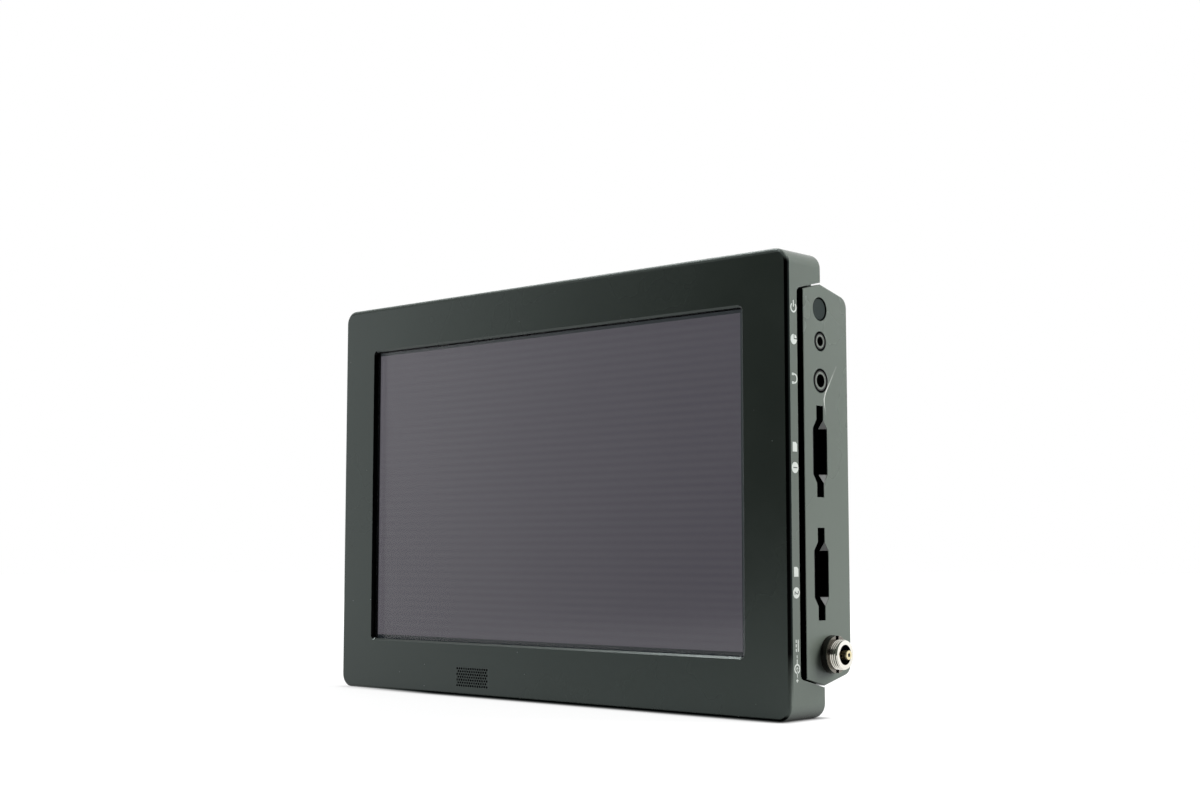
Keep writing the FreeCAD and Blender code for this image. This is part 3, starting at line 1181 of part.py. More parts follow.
def make_audio_sockets():
    pins = []
    mouth = -PANEL_OUTSIDE - size.audio_proud
    floor = mouth + size.audio_depth
    for name, height in AUDIO_HEIGHTS.items():
        axis = (AUDIO_Y, height)
        half = size.audio_block_half
        blank = join(f"audio_{name}_blank", [
            box(f"audio_{name}_block", (-PANEL_INSIDE, -PANEL_INSIDE + size.audio_block),
                (BOARD_BACK, AUDIO_Y + half), (height - half, height + half)),
            rod(f"audio_{name}_tube", "x", axis, (mouth, -PANEL_INSIDE), size.audio_radius)])
        publish(f"mini_audio_socket_{name}", carve(f"audio_{name}_shape", blank, [
            rod(f"audio_{name}_bore", "x", axis, (mouth, floor), size.audio_bore)]))
        spread = size.audio_pin_circle
        for number, (y, z) in enumerate(((0, spread), (spread, 0), (0, -spread))):
            pins.append(rod(f"audio_{name}_pin_{number}", "x", (AUDIO_Y + y, height + z),
                            (floor - size.audio_pin_length, floor), size.audio_pin))
    publish("mini_audio_pins", gather("audio_pin_set", pins))


def make_battery_plate(side_name, side):
    """A plate with four claws, a terminal block and a window for the sprung latch."""
    middle = side * BATTERY_X
    piece = Piece(f"battery_plate_{side_name}")
    across = (middle - size.plate_half_width, middle + size.plate_half_width)
    upright = (HUMP_Z - size.plate_half_height, HUMP_Z + size.plate_half_height)
    piece.pad("y", (BACK, PLATE_BACK), [rectangle(across, upright)])
    piece.fillet(size.plate_corner, runs_along("y", *[(x, z) for x in across for z in upright]))

    outer = size.claw_inner + size.claw_thick
    claw_top = PLATE_BACK + size.claw_height
    rows = [(HUMP_Z + up * size.claw_spread - size.claw_half, HUMP_Z + up * size.claw_spread + size.claw_half)
            for up in (-1, 1)]
    for start, inner in ((PLATE_BACK, size.claw_inner),
                         (claw_top - size.claw_lip_thick, size.claw_inner - size.claw_lip)):
        piece.pad("y", (start, claw_top),
                  [rectangle(span, row) for row in rows
                   for span in ((middle - outer, middle - inner), (middle + inner, middle + outer))])
    block_low = upright[0] + size.terminal_inset
    block_top = block_low + size.terminal_length
    piece.pad("y", (PLATE_BACK, PLATE_BACK + size.terminal_height),
              [rectangle((middle - size.terminal_half_width, middle + size.terminal_half_width),
                         (block_low, block_top))])

    latch_z = upright[1] - size.latch_inset
    pocket_back = PLATE_BACK - size.window_wall
    half_x, half_z = size.latch_half_width + size.latch_clear, size.latch_half_height + size.latch_clear
    collar = size.latch_collar
    piece.pocket("y", (pocket_back, PLATE_BACK),
                 [rectangle((middle - half_x, middle + half_x), (latch_z - half_z, latch_z + half_z))])
    piece.pocket("y", (BACK, pocket_back),
                 [rectangle((middle - half_x - collar, middle + half_x + collar),
                            (latch_z - half_z - collar, latch_z + half_z + collar))])
    holes = [(x, z) for x, z in plate_screw_places() if x.value * side > 0]
    piece.pocket("y", (BACK, PLATE_BACK), [(x, z, size.small_screw_radius + size.pass_clear) for x, z in holes])
    piece.pocket("y", (PLATE_BACK - size.plate_screw_sink, PLATE_BACK),
                 [(x, z, size.small_head_radius + size.pass_clear) for x, z in holes])
    publish(f"battery_plate_{side_name}", piece.body)

    make_latch(side_name, middle, latch_z, pocket_back)
    return [box(f"contact_{side_name}_{number}",
                (x - size.contact_thick / 2, x + size.contact_thick / 2),
                (PLATE_BACK + size.contact_low, PLATE_BACK + size.contact_high),
                (block_top, block_top + size.contact_length))
            for number, x in enumerate(
                [middle + (place - (CONTACTS_PER_BATTERY - 1) / 2) * size.contact_pitch
                 for place in range(CONTACTS_PER_BATTERY)])]


def make_latch(side_name, middle, latch_z, pocket_back):
    """The sprung catch that stops a battery from sliding up again, and the leaf spring under it."""
    collar_back = pocket_back - size.latch_play
    collar_front = collar_back - size.latch_collar_thick
    crown = PLATE_BACK + size.latch_proud
    half_x, half_z, collar = size.latch_half_width, size.latch_half_height, size.latch_collar
    latch = Piece(f"battery_latch_{side_name}")
    latch.pad("y", (collar_front, collar_back),
              [rectangle((middle - half_x - collar, middle + half_x + collar),
                         (latch_z - half_z - collar, latch_z + half_z + collar))])
    latch.pad("y", (collar_back, crown),
              [rectangle((middle - half_x, middle + half_x), (latch_z - half_z, latch_z + half_z))])
    latch.chamfer(size.latch_bevel, runs_along("x", (crown, latch_z + half_z)))
    publish(f"battery_latch_{side_name}", latch.body)

    height = collar_front - BACK - size.leaf_gap
    reach, foot, thick = size.leaf_half_width, size.leaf_foot, size.leaf_thick
    leaf = Piece(f"latch_spring_{side_name}")
    leaf.pad("z", (latch_z - size.leaf_half_height, latch_z + size.leaf_half_height),
             [[(middle - reach, BACK), (middle - reach + foot, BACK), (middle, BACK + height - thick),
               (middle + reach - foot, BACK), (middle + reach, BACK), (middle, BACK + height)]])
    publish(f"latch_spring_{side_name}", leaf.body)


def make_batteries_side():
    contacts = []
    for side_name, side in SIDES.items():
        contacts += make_battery_plate(side_name, side)
    publish("battery_contacts", gather("contact_set", contacts))
    seat = PLATE_BACK - size.plate_screw_sink
    reach = size.plate_thick - size.plate_screw_sink + size.cover_wall - size.plate_screw_tip
    screws = [screw(f"plate_screw_{number}", place, seat, SMALL_HEAD, size.small_screw_radius, reach)
              for number, place in enumerate(plate_screw_places())]
    publish("plate_screws", gather("plate_screw_set", screws))


def write_parts():
    """Check the whole document, then write one file for each node."""
    doc.recompute()
    failed = [item.Label for item in doc.Objects if {"Invalid", "Error"} & set(item.State)]
    failed += [node.Label for node in nodes if node.Shape.isNull() or not node.Shape.isValid()]
    if failed:
        raise RuntimeError(f"failed: {failed}")
    os.makedirs("parts", exist_ok=True)
    for node in nodes:
        node.Shape.exportStep(f"parts/{node.Label}.step")
    hull = FreeCAD.BoundBox()
    for node in nodes:
        hull.add(node.Shape.BoundBox)
    print(f"{len(nodes)} nodes, {sum(len(node.Shape.Solids) for node in nodes)} solids, {hull}")


make_front_housing()
make_speaker()
make_screen()
make_ribbon()
make_thread_inserts()
make_right_panel()
make_left_panel()
make_rear_cover()
make_main_board()
make_cooling()
make_power_button()
make_jacks()
make_card_readers()
make_power_socket()
make_coax_sockets()
make_left_sockets()
make_batteries_side()
write_parts()
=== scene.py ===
# %% [markdown]
# A recording monitor, seven inches across, stands on its lower edge. Its solids come from the packed part and
# stay where they are. This lesson gives them their finishes and adds the small things that are too fine for
# the solids: printed marks, screw threads, grip ribs, leaf springs. All lengths are metres, in the frame of
# the solids: X to the right, Y to the back, Z up.

# %% Load the imported part
import json
import math
from functools import partial

import bmesh
import bpy
from mathutils import Matrix, Vector


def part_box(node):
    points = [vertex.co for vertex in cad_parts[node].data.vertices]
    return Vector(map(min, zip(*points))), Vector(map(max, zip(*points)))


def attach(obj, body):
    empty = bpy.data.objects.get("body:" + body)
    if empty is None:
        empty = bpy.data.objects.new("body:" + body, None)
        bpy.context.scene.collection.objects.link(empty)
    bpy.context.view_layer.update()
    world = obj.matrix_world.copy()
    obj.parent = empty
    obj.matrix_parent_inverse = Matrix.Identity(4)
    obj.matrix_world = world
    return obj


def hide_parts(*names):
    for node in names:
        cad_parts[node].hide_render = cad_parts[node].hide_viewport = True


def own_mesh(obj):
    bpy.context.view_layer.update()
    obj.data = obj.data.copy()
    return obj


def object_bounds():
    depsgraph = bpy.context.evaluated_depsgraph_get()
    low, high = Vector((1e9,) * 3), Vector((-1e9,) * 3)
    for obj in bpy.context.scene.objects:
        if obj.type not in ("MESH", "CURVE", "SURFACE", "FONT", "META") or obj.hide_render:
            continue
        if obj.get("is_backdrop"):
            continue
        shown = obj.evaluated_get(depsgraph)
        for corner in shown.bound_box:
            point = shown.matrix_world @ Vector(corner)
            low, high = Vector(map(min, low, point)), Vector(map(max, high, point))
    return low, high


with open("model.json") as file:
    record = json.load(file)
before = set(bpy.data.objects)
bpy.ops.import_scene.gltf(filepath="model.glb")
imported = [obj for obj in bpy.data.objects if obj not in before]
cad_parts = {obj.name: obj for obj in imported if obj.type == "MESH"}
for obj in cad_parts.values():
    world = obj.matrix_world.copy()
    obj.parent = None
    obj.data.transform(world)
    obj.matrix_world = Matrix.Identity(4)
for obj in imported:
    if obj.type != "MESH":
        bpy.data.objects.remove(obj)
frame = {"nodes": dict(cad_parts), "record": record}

MM = 0.001
scene = bpy.context.scene
nodes = frame["nodes"]


def mm(*lengths):
    """Millimetres as metres."""
    return [length * MM for length in lengths]


def in_mm(values):
    """Rounded millimetres for printing."""
    return [round(value / MM, 2) for value in values]


def middle_of(node):
    """Middle of a solid's box."""
    first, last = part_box(node)
    return (first + last) / 2


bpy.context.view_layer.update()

# %% [markdown]
# The photograph was taken from the front right, half a metre away and a little below the middle. A
# camera can be turned by hand until it looks right, but corners measured in the photograph give its
# place exactly, so the three numbers of its place and its two angles are written here.

# %% Camera at the photograph's viewing angle
CAMERA_PLACE = Vector((356.4, -371.2, 44.4)) * MM
CAMERA_YAW = math.radians(42.378)
CAMERA_PITCH = math.radians(5.284)


def put(name, data):
    """A new object in the scene."""
    thing = bpy.data.objects.new(name, data)
    scene.collection.objects.link(thing)
    return thing


camera_lens = bpy.data.cameras.new("portrait_camera")
camera_lens.lens = 50.0
camera_lens.sensor_width = 36.0
camera = put("portrait_camera", camera_lens)
camera.location = CAMERA_PLACE
camera.rotation_euler = (math.radians(90) + CAMERA_PITCH, 0.0, CAMERA_YAW)
scene.camera = camera
scene.view_settings.view_transform = "Standard"
print("camera", round(CAMERA_PLACE.length, 3), "m away")

# %% [markdown]
# A shader is a small network. It can be wired by hand in the shader editor, but a script that writes
# each node on several lines hides what the network does. So a few helpers are used everywhere: one adds
# a node and fills its inputs, with numbers or with links, and the others stand for the nodes that come
# up most: sums and products, ramps, mixed colours, places.


# %% Helpers for node networks
def plug(socket, value):
    """Gives an input either a link or a plain value."""
    if isinstance(value, bpy.types.NodeSocket):
        socket.id_data.links.new(value, socket)
    else:
        socket.default_value = value


def add_node(tree, kind, inputs=None, **settings):
    """A new node, with its inputs filled by name or by number."""
    node = tree.nodes.new(kind)
    for name, value in settings.items():
        setattr(node, name, value)
    for key, value in (inputs or {}).items():
        plug(node.inputs[key], value)
    return node


def feed(node, **values):
    """Fills a node's inputs by name; underscores stand for spaces."""
    for label, value in values.items():
        plug(node.inputs[label.replace("_", " ")], value)


def first_out(tree, kind, **values):
    """The first output of a new node."""
    node = tree.nodes.new(kind)
    feed(node, **values)
    return node.outputs[0]


def calc(operation, *values, clamp=False):
    """The result of Math nodes; more than two values are taken in one by one."""
    if len(values) > 2:
        values = calc(operation, *values[:-1]), values[-1]
    tree = next(value.id_data for value in values if isinstance(value, bpy.types.NodeSocket))
    node = add_node(tree, "ShaderNodeMath", dict(enumerate(values)), operation=operation, use_clamp=clamp)
    return node.outputs[0]


times, over, plus, minus, most, below, above, size_of = [partial(calc, operation) for operation in (
    "MULTIPLY", "DIVIDE", "ADD", "SUBTRACT", "MAXIMUM", "LESS_THAN", "GREATER_THAN", "ABSOLUTE")]


def distance(*parts):
    """The length of a vector with these parts."""
    return calc("SQRT", plus(*[times(part, part) for part in parts]))


def ramp(value, low, high, start=0.0, end=1.0, smooth=True):
    """The value brought from one range to another, with soft ends."""
    node = add_node(value.id_data, "ShaderNodeMapRange",
                    {"Value": value, "From Min": low, "From Max": high, "To Min": start, "To Max": end},
                    interpolation_type="SMOOTHSTEP" if smooth else "LINEAR")
    return node.outputs["Result"]


def blend(factor, first, second):
    """One colour passing into another; a plain colour is red, green and blue."""
    first, second = [(*end, 1.0) if isinstance(end, (tuple, list)) else end for end in (first, second)]
    ends = {"Factor": factor, 6: first, 7: second}
    return add_node(factor.id_data, "ShaderNodeMix", ends, data_type="RGBA").outputs[2]


def object_place(tree):
    """Object coordinates: metres in the frame of the part."""
    return add_node(tree, "ShaderNodeTexCoord").outputs["Object"]


def axes_of(tree):
    """Object X, Y and Z."""
    return add_node(tree, "ShaderNodeSeparateXYZ", {0: object_place(tree)}).outputs


def seen_ray(tree):
    """One for the rays from the camera, off metal or through glass."""
    path = add_node(tree, "ShaderNodeLightPath").outputs
    return most(path["Is Camera Ray"], path["Is Glossy Ray"], path["Is Transmission Ray"])


print("node helpers ready")

# %% [markdown]
# The photograph has a white ground with hardly any shadow. A floor lit until it is white would burn out
# the object, so the floor and the world are white only for the rays that look at them, and a calmer
# level lights the object. The floor still takes shadow where the monitor stands: its own white fades
# towards the edge that the monitor stands on, where no light gets in, less so at the left end.

# %% White surroundings and floor
WHITE = (1.0, 1.0, 1.0, 1.0)
AMBIENT_LEVEL = 0.15
FLOOR_SIDE = 6.0
FLOOR_GREY = (0.15, 0.15, 0.15, 1.0)
FLOOR_FADE = 0.2, 0.5, 0.97, 1.0
CORNER_REACH = 3.0 * MM
TIGHT_SHADE, BROAD_SHADE = mm(3.2, 16)
SHADE_START, TIGHT_LEVELS = mm(6.0, 45), (0.25, 0.9)
BROAD_LEVEL = 0.05
FINISHES = {}


def ambient(tree):
    """Full strength for the rays that look, a calmer one for those that light."""
    return ramp(seen_ray(tree), 0.0, 1.0, AMBIENT_LEVEL, 1.0, smooth=False)


def empty_tree(owner):
    """The emptied node tree of a world or a material."""
    owner.use_nodes = True
    owner.node_tree.nodes.clear()
    return owner.node_tree


def new_finish(name):
    """The tree of a new material, which is kept by its name."""
    FINISHES[name] = bpy.data.materials.new(name)
    print("finish", name)
    return empty_tree(FINISHES[name])


def add_sheet(name, points, faces, finish):
    """An open mesh for the studio."""
    mesh = bpy.data.meshes.new(name)
    mesh.from_pydata(points, [], faces)
    mesh.materials.append(FINISHES[finish])
    return put(name, mesh)


scene.world = bpy.data.worlds.new("white_studio")
sky = empty_tree(scene.world)
sky_light = first_out(sky, "ShaderNodeBackground", Color=WHITE, Strength=ambient(sky))
add_node(sky, "ShaderNodeOutputWorld", {"Surface": sky_light})

ground = new_finish("white_floor")
stand_low, stand_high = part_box("front_housing")
stand_half = (stand_high - stand_low) / 2
stand_half.x -= CORNER_REACH
ground_axes = axes_of(ground)
past = []
for i in (0, 1):
    off_middle = minus(ground_axes[i], middle_of("front_housing")[i])
    past.append(most(minus(size_of(off_middle), stand_half[i]), 0.0))
beside = distance(*past)
near = over(beside, TIGHT_SHADE)
tight_level = ramp(ground_axes[0], *[stand_low.x + v for v in SHADE_START], *TIGHT_LEVELS, smooth=False)
tight = times(calc("POWER", math.e, times(near, near, -1.0)), tight_level)
broad = times(calc("POWER", math.e, over(beside, -BROAD_SHADE)), BROAD_LEVEL)
open_share = minus(1.0, tight, broad, clamp=True)
white = times(open_share, ramp(distance(*ground_axes[:2]), *FLOOR_FADE), seen_ray(ground))
matt = first_out(ground, "ShaderNodeBsdfDiffuse", Color=FLOOR_GREY)
glow = first_out(ground, "ShaderNodeEmission", Color=WHITE, Strength=white)
both = add_node(ground, "ShaderNodeAddShader", {0: matt, 1: glow})
add_node(ground, "ShaderNodeOutputMaterial", {"Surface": both.outputs[0]})

half = FLOOR_SIDE / 2
floor = add_sheet("studio_floor", [(-half, -half, 0), (half, -half, 0), (half, half, 0), (-half, half, 0)],
                  [(0, 1, 2, 3)], "white_floor")
floor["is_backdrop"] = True
print("floor", FLOOR_SIDE, "m wide")

# %% [markdown]
# Satin paint and glass show what stands in front of them. A photographer puts a dark card there, so
# that a black front stays black, and lets it end to the left, where the front turns grey. Darker paint
# could stand in for the card, but it would be wrong from every other side. The card here is a curved
# wall that only reflections and light meet: the camera looks through it.

# %% Dark card in front
CARD_RADIUS = 0.5
CARD_LOW, CARD_FADE, CARD_HEIGHT = 0.002, 0.28, 0.5
CARD_RIGHT, CARD_RIGHT_DARK, CARD_LEFT_DARK, CARD_LEFT_LIGHT, CARD_LEFT = [
    math.radians(angle) for angle in (-106, -92, 29, 63.5, 66)]
CARD_DARK, CARD_LIGHT = 0.02, 1.45
CARD_STEPS = 48

wall = new_finish("dark_card")
wall_x, wall_y, wall_z = axes_of(wall)
turn = calc("ARCTAN2", times(wall_x, -1.0), times(wall_y, -1.0))
to_left = ramp(turn, CARD_LEFT_DARK, CARD_LEFT_LIGHT, CARD_DARK, CARD_LIGHT)
to_right = ramp(turn, CARD_RIGHT, CARD_RIGHT_DARK, 1.0, CARD_DARK)
to_top = ramp(wall_z, CARD_FADE, CARD_HEIGHT)
card_level = times(most(to_left, to_right, to_top), ambient(wall))
card_glow = first_out(wall, "ShaderNodeEmission", Color=WHITE, Strength=card_level)
card_clear = first_out(wall, "ShaderNodeBsdfTransparent")
card_view = add_node(wall, "ShaderNodeLightPath").outputs["Is Camera Ray"]
card_mix = add_node(wall, "ShaderNodeMixShader", {0: card_view, 1: card_glow, 2: card_clear})
add_node(wall, "ShaderNodeOutputMaterial", {"Surface": card_mix.outputs[0]})

angles = [CARD_RIGHT + (CARD_LEFT - CARD_RIGHT) * step / CARD_STEPS for step in range(CARD_STEPS + 1)]
card_points = [(-CARD_RADIUS * math.sin(angle), -CARD_RADIUS * math.cos(angle), z)
               for angle in angles for z in (CARD_LOW, CARD_HEIGHT)]
card_faces = [(2 * i, 2 * i + 2, 2 * i + 3, 2 * i + 1) for i in range(CARD_STEPS)]
card = add_sheet("dark_card", card_points, card_faces, "dark_card")
card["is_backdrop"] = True
print("card", len(card_faces), "faces")

# %% [markdown]
# A wide lamp at the back right makes the side lighter than the front. It stays out of reflections, so
# that the paint mirrors an even white and no lamp shows on a rounded corner. Only the lamp overhead is
# mirrored: it draws the bright lines along the top edge and under the screen, and lights nothing else.
# A weak lamp in front, inside the card, keeps the darkest corner of the front from closing up.

# %% Lamps
FRONT_TINT = (0.80, 1.0, 0.98)


def add_lamp(name, place, target, sides, watts, mirrored=False):
    """A rectangular lamp that looks at a target, and shows in reflections only if asked."""
    light = bpy.data.lights.new(name, "AREA")
    light.shape = "RECTANGLE"
    light.size, light.size_y = sides
    light.energy = watts
    lamp = put(name, light)
    lamp.location = place
    lamp.rotation_euler = (Vector(target) - Vector(place)).to_track_quat("-Z", "Y").to_euler()
    lamp.visible_camera = False
    lamp.visible_glossy = mirrored
    print(name, watts, "W")
    return lamp


add_lamp("right_lamp", (0.72, 0.82, 0.58), (0.08, 0.0, 0.06), (0.8, 0.8), 39)
add_lamp("left_lamp", (-0.90, 0.70, 0.60), (0.0, 0.0, 0.06), (0.7, 0.7), 9.0)
top_lamp = add_lamp("top_lamp", (-0.42, -0.10, 0.99), (0.0, -0.10, 0.06), (1.3, 0.48), 19, mirrored=True)
top_lamp.visible_diffuse = False
front_lamp = add_lamp("front_lamp", (0.02, -0.42, 0.38), (0.0, 0.0, 0.06), (0.25, 0.25), 0.28)
front_lamp.data.color = FRONT_TINT

# %% [markdown]
# Several finishes share the same small effects. They could be copied from material to material, but
# then a change has to be made many times. So each effect is a node group with named inputs, made once.
# A group gives only masks and numbers; the shader itself stays in each material, where the export can
# read it.


# %% Group helpers
def start_group(name, inputs, outputs=("Geometry",), kind="Shader"):
    """A node group; an input is a number, or a socket kind and a first value."""
    if kind == "Geometry":
        inputs = {"Geometry": ("Geometry", None), **inputs, "Material": ("Material", None)}
    tree = bpy.data.node_groups.new(name, kind + "NodeTree")
    print("group", name)
    for label, given in inputs.items():
        socket_kind, value = given if isinstance(given, tuple) else ("Float", given)
        socket = tree.interface.new_socket(label, in_out="INPUT", socket_type="NodeSocket" + socket_kind)
        if value is not None:
            socket.default_value = value
    for label in outputs:
        socket_kind = "NodeSocketFloat" if kind == "Shader" else "NodeSocketGeometry"
        tree.interface.new_socket(label, in_out="OUTPUT", socket_type=socket_kind)
    return tree, tree.nodes.new("NodeGroupInput").outputs, tree.nodes.new("NodeGroupOutput").inputs


def use_group(tree, group, **values):
    """Places a group in a material."""
    node = add_node(tree, "ShaderNodeGroup", node_tree=group)
    feed(node, **values)
    return node.outputs


def cloud(place, scale, detail=2.0, roughness=0.5):
    """Noise between zero and one."""
    return first_out(place.id_data, "ShaderNodeTexNoise", Vector=place, Scale=scale, Detail=detail,
                     Roughness=roughness)


print("group helpers ready")

# %% [markdown]
# Grain: sprayed paint and moulded plastic are never quite smooth. An image of the grain would need a UV
# map on every solid; noise on Object coordinates needs none and has no seams. Fine noise raises the
# surface by about a hundredth of a millimetre, and broad noise makes the shine a little uneven, as
# after wiping.

# %% Grain group
grain, group_in, group_out = start_group(
    "surface_grain", {"Grain Scale": 2500, "Cloud Scale": 18}, ("Height", "Unevenness"))
grain_place = object_place(grain)
plug(group_out["Height"], cloud(grain_place, group_in["Grain Scale"], 3.0, 0.6))
plug(group_out["Unevenness"], cloud(grain_place, group_in["Cloud Scale"], 4.0, 0.6))

# %% [markdown]
# Edge wear: paint rubs thin on outer edges first. It could be painted by hand, piece by piece, or found
# from the shape. A Bevel node gives a normal that is rounded near an edge; where it turns away from the
# true normal, there is an edge, so one group serves every piece. Noise breaks the line up.

# %% Edge wear group
wear, group_in, group_out = start_group(
    "edge_wear", {"Width": 0.0004, "Break Scale": 160, "Amount": 0.5}, ("Mask",))
rounded = first_out(wear, "ShaderNodeBevel", Radius=group_in["Width"])
true_normal = add_node(wear, "ShaderNodeNewGeometry").outputs["Normal"]
turning = add_node(wear, "ShaderNodeVectorMath", {0: rounded, 1: true_normal}, operation="DOT_PRODUCT")
near_edge = ramp(turning.outputs["Value"], 0.995, 0.82)
broken = ramp(cloud(object_place(wear), group_in["Break Scale"], 5.0, 0.65), 0.42, 0.66)
plug(group_out["Mask"], times(near_edge, broken, group_in["Amount"]))

# %% [markdown]
# Dust: a few light specks lie on the dark paint in the photograph. Thousands of tiny meshes would be
# slow to draw and to export, so a Voronoi pattern scatters points instead. Only the cells whose random
# number is low enough show a speck, so they stay sparse.

# %% Dust group
dust, group_in, group_out = start_group("dust_specks", {"Scale": 420, "Size": 0.09, "Share": 0.05}, ("Mask",))
cells = add_node(dust, "ShaderNodeTexVoronoi", {"Vector": object_place(dust), "Scale": group_in["Scale"]})
cell_number = first_out(dust, "ShaderNodeSeparateColor", Color=cells.outputs["Color"])
chosen = below(cell_number, group_in["Share"])
plug(group_out["Mask"], times(chosen, below(cells.outputs["Distance"], group_in["Size"])))

# %% [markdown]
# Brushing: sheet metal and turned metal carry fine lines. An anisotropic shader gives their streaked
# shine, but no lines that can be seen from close by. Noise that is stretched along one axis and
# squeezed along the others gives them; the stretch comes in as three numbers.

# %% Brushing group
brushing, group_in, group_out = start_group(
    "brushed_lines", {"Across X": 4000, "Across Y": 4000, "Across Z": 60}, ("Lines",))
stretched = add_node(brushing, "ShaderNodeCombineXYZ", {
    i: times(axis, group_in[i]) for i, axis in enumerate(axes_of(brushing))})
plug(group_out["Lines"], cloud(stretched.outputs[0], 1.0, 2.0, 0.5))

# %% [markdown]
# A real surface has no single colour and no single shine. Each finish could be a network of its own,
# but then each would be uneven in another way. So all follow one recipe: a base colour that varies a
# little, a roughness that varies with the same clouds, and a bump from the grain. One helper writes the
# recipe, and each finish adds its own.


# %% Finish recipes
def start_finish(name, **fixed):
    """A material with a Principled shader; fixed values go to its own sockets."""
    tree = new_finish(name)
    shader = add_node(tree, "ShaderNodeBsdfPrincipled")
    feed(shader, **fixed)
    add_node(tree, "ShaderNodeOutputMaterial", {"Surface": shader.outputs[0]})
    return tree, shader


def raise_by(shader, height, rise):
    """Feeds a height to the shader's normal."""
    bump = first_out(shader.id_data, "ShaderNodeBump", Height=height, Distance=rise, Strength=1.0)
    feed(shader, Normal=bump)


def grained_finish(name, colour, roughness, spread=0.08, grain_scale=2500, grain_height=0.00002,
                   cloud_scale=18, tint=0.12, **fixed):
    """Paint or plastic: clouds in colour and shine, and a fine raised grain."""
    tree, shader = start_finish(name, **fixed)
    texture = use_group(tree, grain, Grain_Scale=grain_scale, Cloud_Scale=cloud_scale)
    body = blend(texture["Unevenness"], [c * (1 - tint) for c in colour], [c * (1 + tint) for c in colour])
    shine = ramp(texture["Unevenness"], 0.25, 0.75, roughness - spread, roughness + spread)
    feed(shader, Base_Color=body, Roughness=shine)
    raise_by(shader, texture["Height"], grain_height)
    return tree, shader, body


def metal_finish(name, colour, roughness, lines=(4000, 4000, 60), spread=0.1, line_height=0.000004):
    """Metal with fine lines in its shine and its surface."""
    tree, shader = start_finish(name, Metallic=1.0)
    fine = use_group(tree, brushing, Across_X=lines[0], Across_Y=lines[1], Across_Z=lines[2])["Lines"]
    cloudy = use_group(tree, grain, Grain_Scale=900, Cloud_Scale=90)["Unevenness"]
    body = blend(cloudy, [c * 0.86 for c in colour], [min(c * 1.1, 1.0) for c in colour])
    feed(shader, Base_Color=body, Roughness=ramp(fine, 0.2, 0.8, roughness - spread, roughness + spread))
    raise_by(shader, fine, line_height)
    return tree, shader, body


print("finish recipes ready")

# %% [markdown]
# Housing and side plates are cast metal under dark satin paint, a touch green. Hands have rubbed the
# edges, and dust lies on it. Paint over metal could be a coat over a metal shader, but this paint hides
# its metal, so a grained finish with worn edges does the same with fewer values. The colour goes on to
# a later step, which adds what belongs to one piece.

# %% Painted metal
PAINT = (0.071, 0.083, 0.070)
COOL_SHINE = (0.84, 1.0, 0.98, 1.0)
RUBBED_GREY, DUST_GREY = (0.24, 0.26, 0.25), (0.45, 0.46, 0.44)


def painted_metal(name, colour, roughness):
    """Satin paint with rubbed edges and dust; gives back the colour to work on."""
    tree, shader, body = grained_finish(name, colour, roughness, spread=0.04, grain_scale=2600,
                                        grain_height=0.000012, tint=0.07, Specular_Tint=COOL_SHINE)
    rubbed = use_group(tree, wear, Width=0.00035, Break_Scale=210, Amount=0.35)["Mask"]
    specks = use_group(tree, dust, Scale=330, Size=0.055, Share=0.08)["Mask"]
    worn = blend(rubbed, body, RUBBED_GREY)
    return tree, shader, blend(times(specks, 0.8), worn, DUST_GREY)


tree, shader, body = painted_metal("housing_paint", PAINT, 0.26)

# %% [markdown]
# Some places of the housing are painted black as shade: the slot between it and the side plate, where the gap
# lies in deep shade; the rounded edge at the front's sides and bottom, which is painted shade and a painted
# dark reflection; and the left wall of the screen opening, which is painted shade. A second material on some
# faces would not do, because these places end in the middle of a face. The place of a point tells them apart,
# so one material serves the whole casting. The pairs named EDGE run from clear to black.

# %% Black places of the housing
SLOT_DEPTH, SLOT_REACH_IN, SLOT_SPARE = mm(0.25, 12, 1)
SLOT_FRONT_Y = -3.6 * MM
EDGE_ZONE = 2.3 * MM
EDGE_RISE = mm(0.005, 0.05)
SIDE_EDGE, LOW_EDGE = mm(1.60, 1.40), mm(0.82, 0.60)
SIDE_EDGE_LOW, SIDE_EDGE_HIGH = mm(5.0, 18), mm(1.8, 4.2)
LOW_EDGE_START = mm(12, 42)
OPENING_LEFT = mm(-78.5, -77.2)
OPENING_SPAN = mm(15.9, 113.1)
OPENING_DEPTH = mm(0.05, 1.6)
PANEL_LOW, PANEL_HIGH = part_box("right_panel")


def between(value, low, high):
    """One inside a range and zero outside it."""
    return times(above(value, low), below(value, high))


place_x, place_y, place_z = axes_of(tree)
off_centre = size_of(place_x)
behind_front = minus(place_y, stand_low.y)
# Painted shade: the slot between housing and side plate is painted black.
side_slot_shade = times(between(off_centre, stand_high.x - SLOT_REACH_IN, stand_high.x - SLOT_DEPTH),
               above(place_y, SLOT_FRONT_Y),
               between(place_z, PANEL_LOW.z - SLOT_SPARE, PANEL_HIGH.z + SLOT_SPARE))
# Painted shade and painted dark reflection on the rounded edge at the front's sides and bottom.
from_low = ramp(place_z, *[stand_low.z + v for v in SIDE_EDGE_LOW], smooth=False)
to_high = ramp(place_z, *[stand_high.z - v for v in SIDE_EDGE_HIGH])
side_line = times(above(off_centre, stand_high.x - EDGE_ZONE), from_low, to_high,
                  ramp(behind_front, *SIDE_EDGE))
low_zone = ramp(place_z, stand_low.z + EDGE_ZONE, stand_low.z + EDGE_ZONE / 2)
low_start = ramp(place_x, *[stand_low.x + v for v in LOW_EDGE_START], smooth=False)
low_line = times(low_zone, low_start, ramp(behind_front, *LOW_EDGE))
edge_line = times(ramp(behind_front, *EDGE_RISE), most(side_line, low_line))
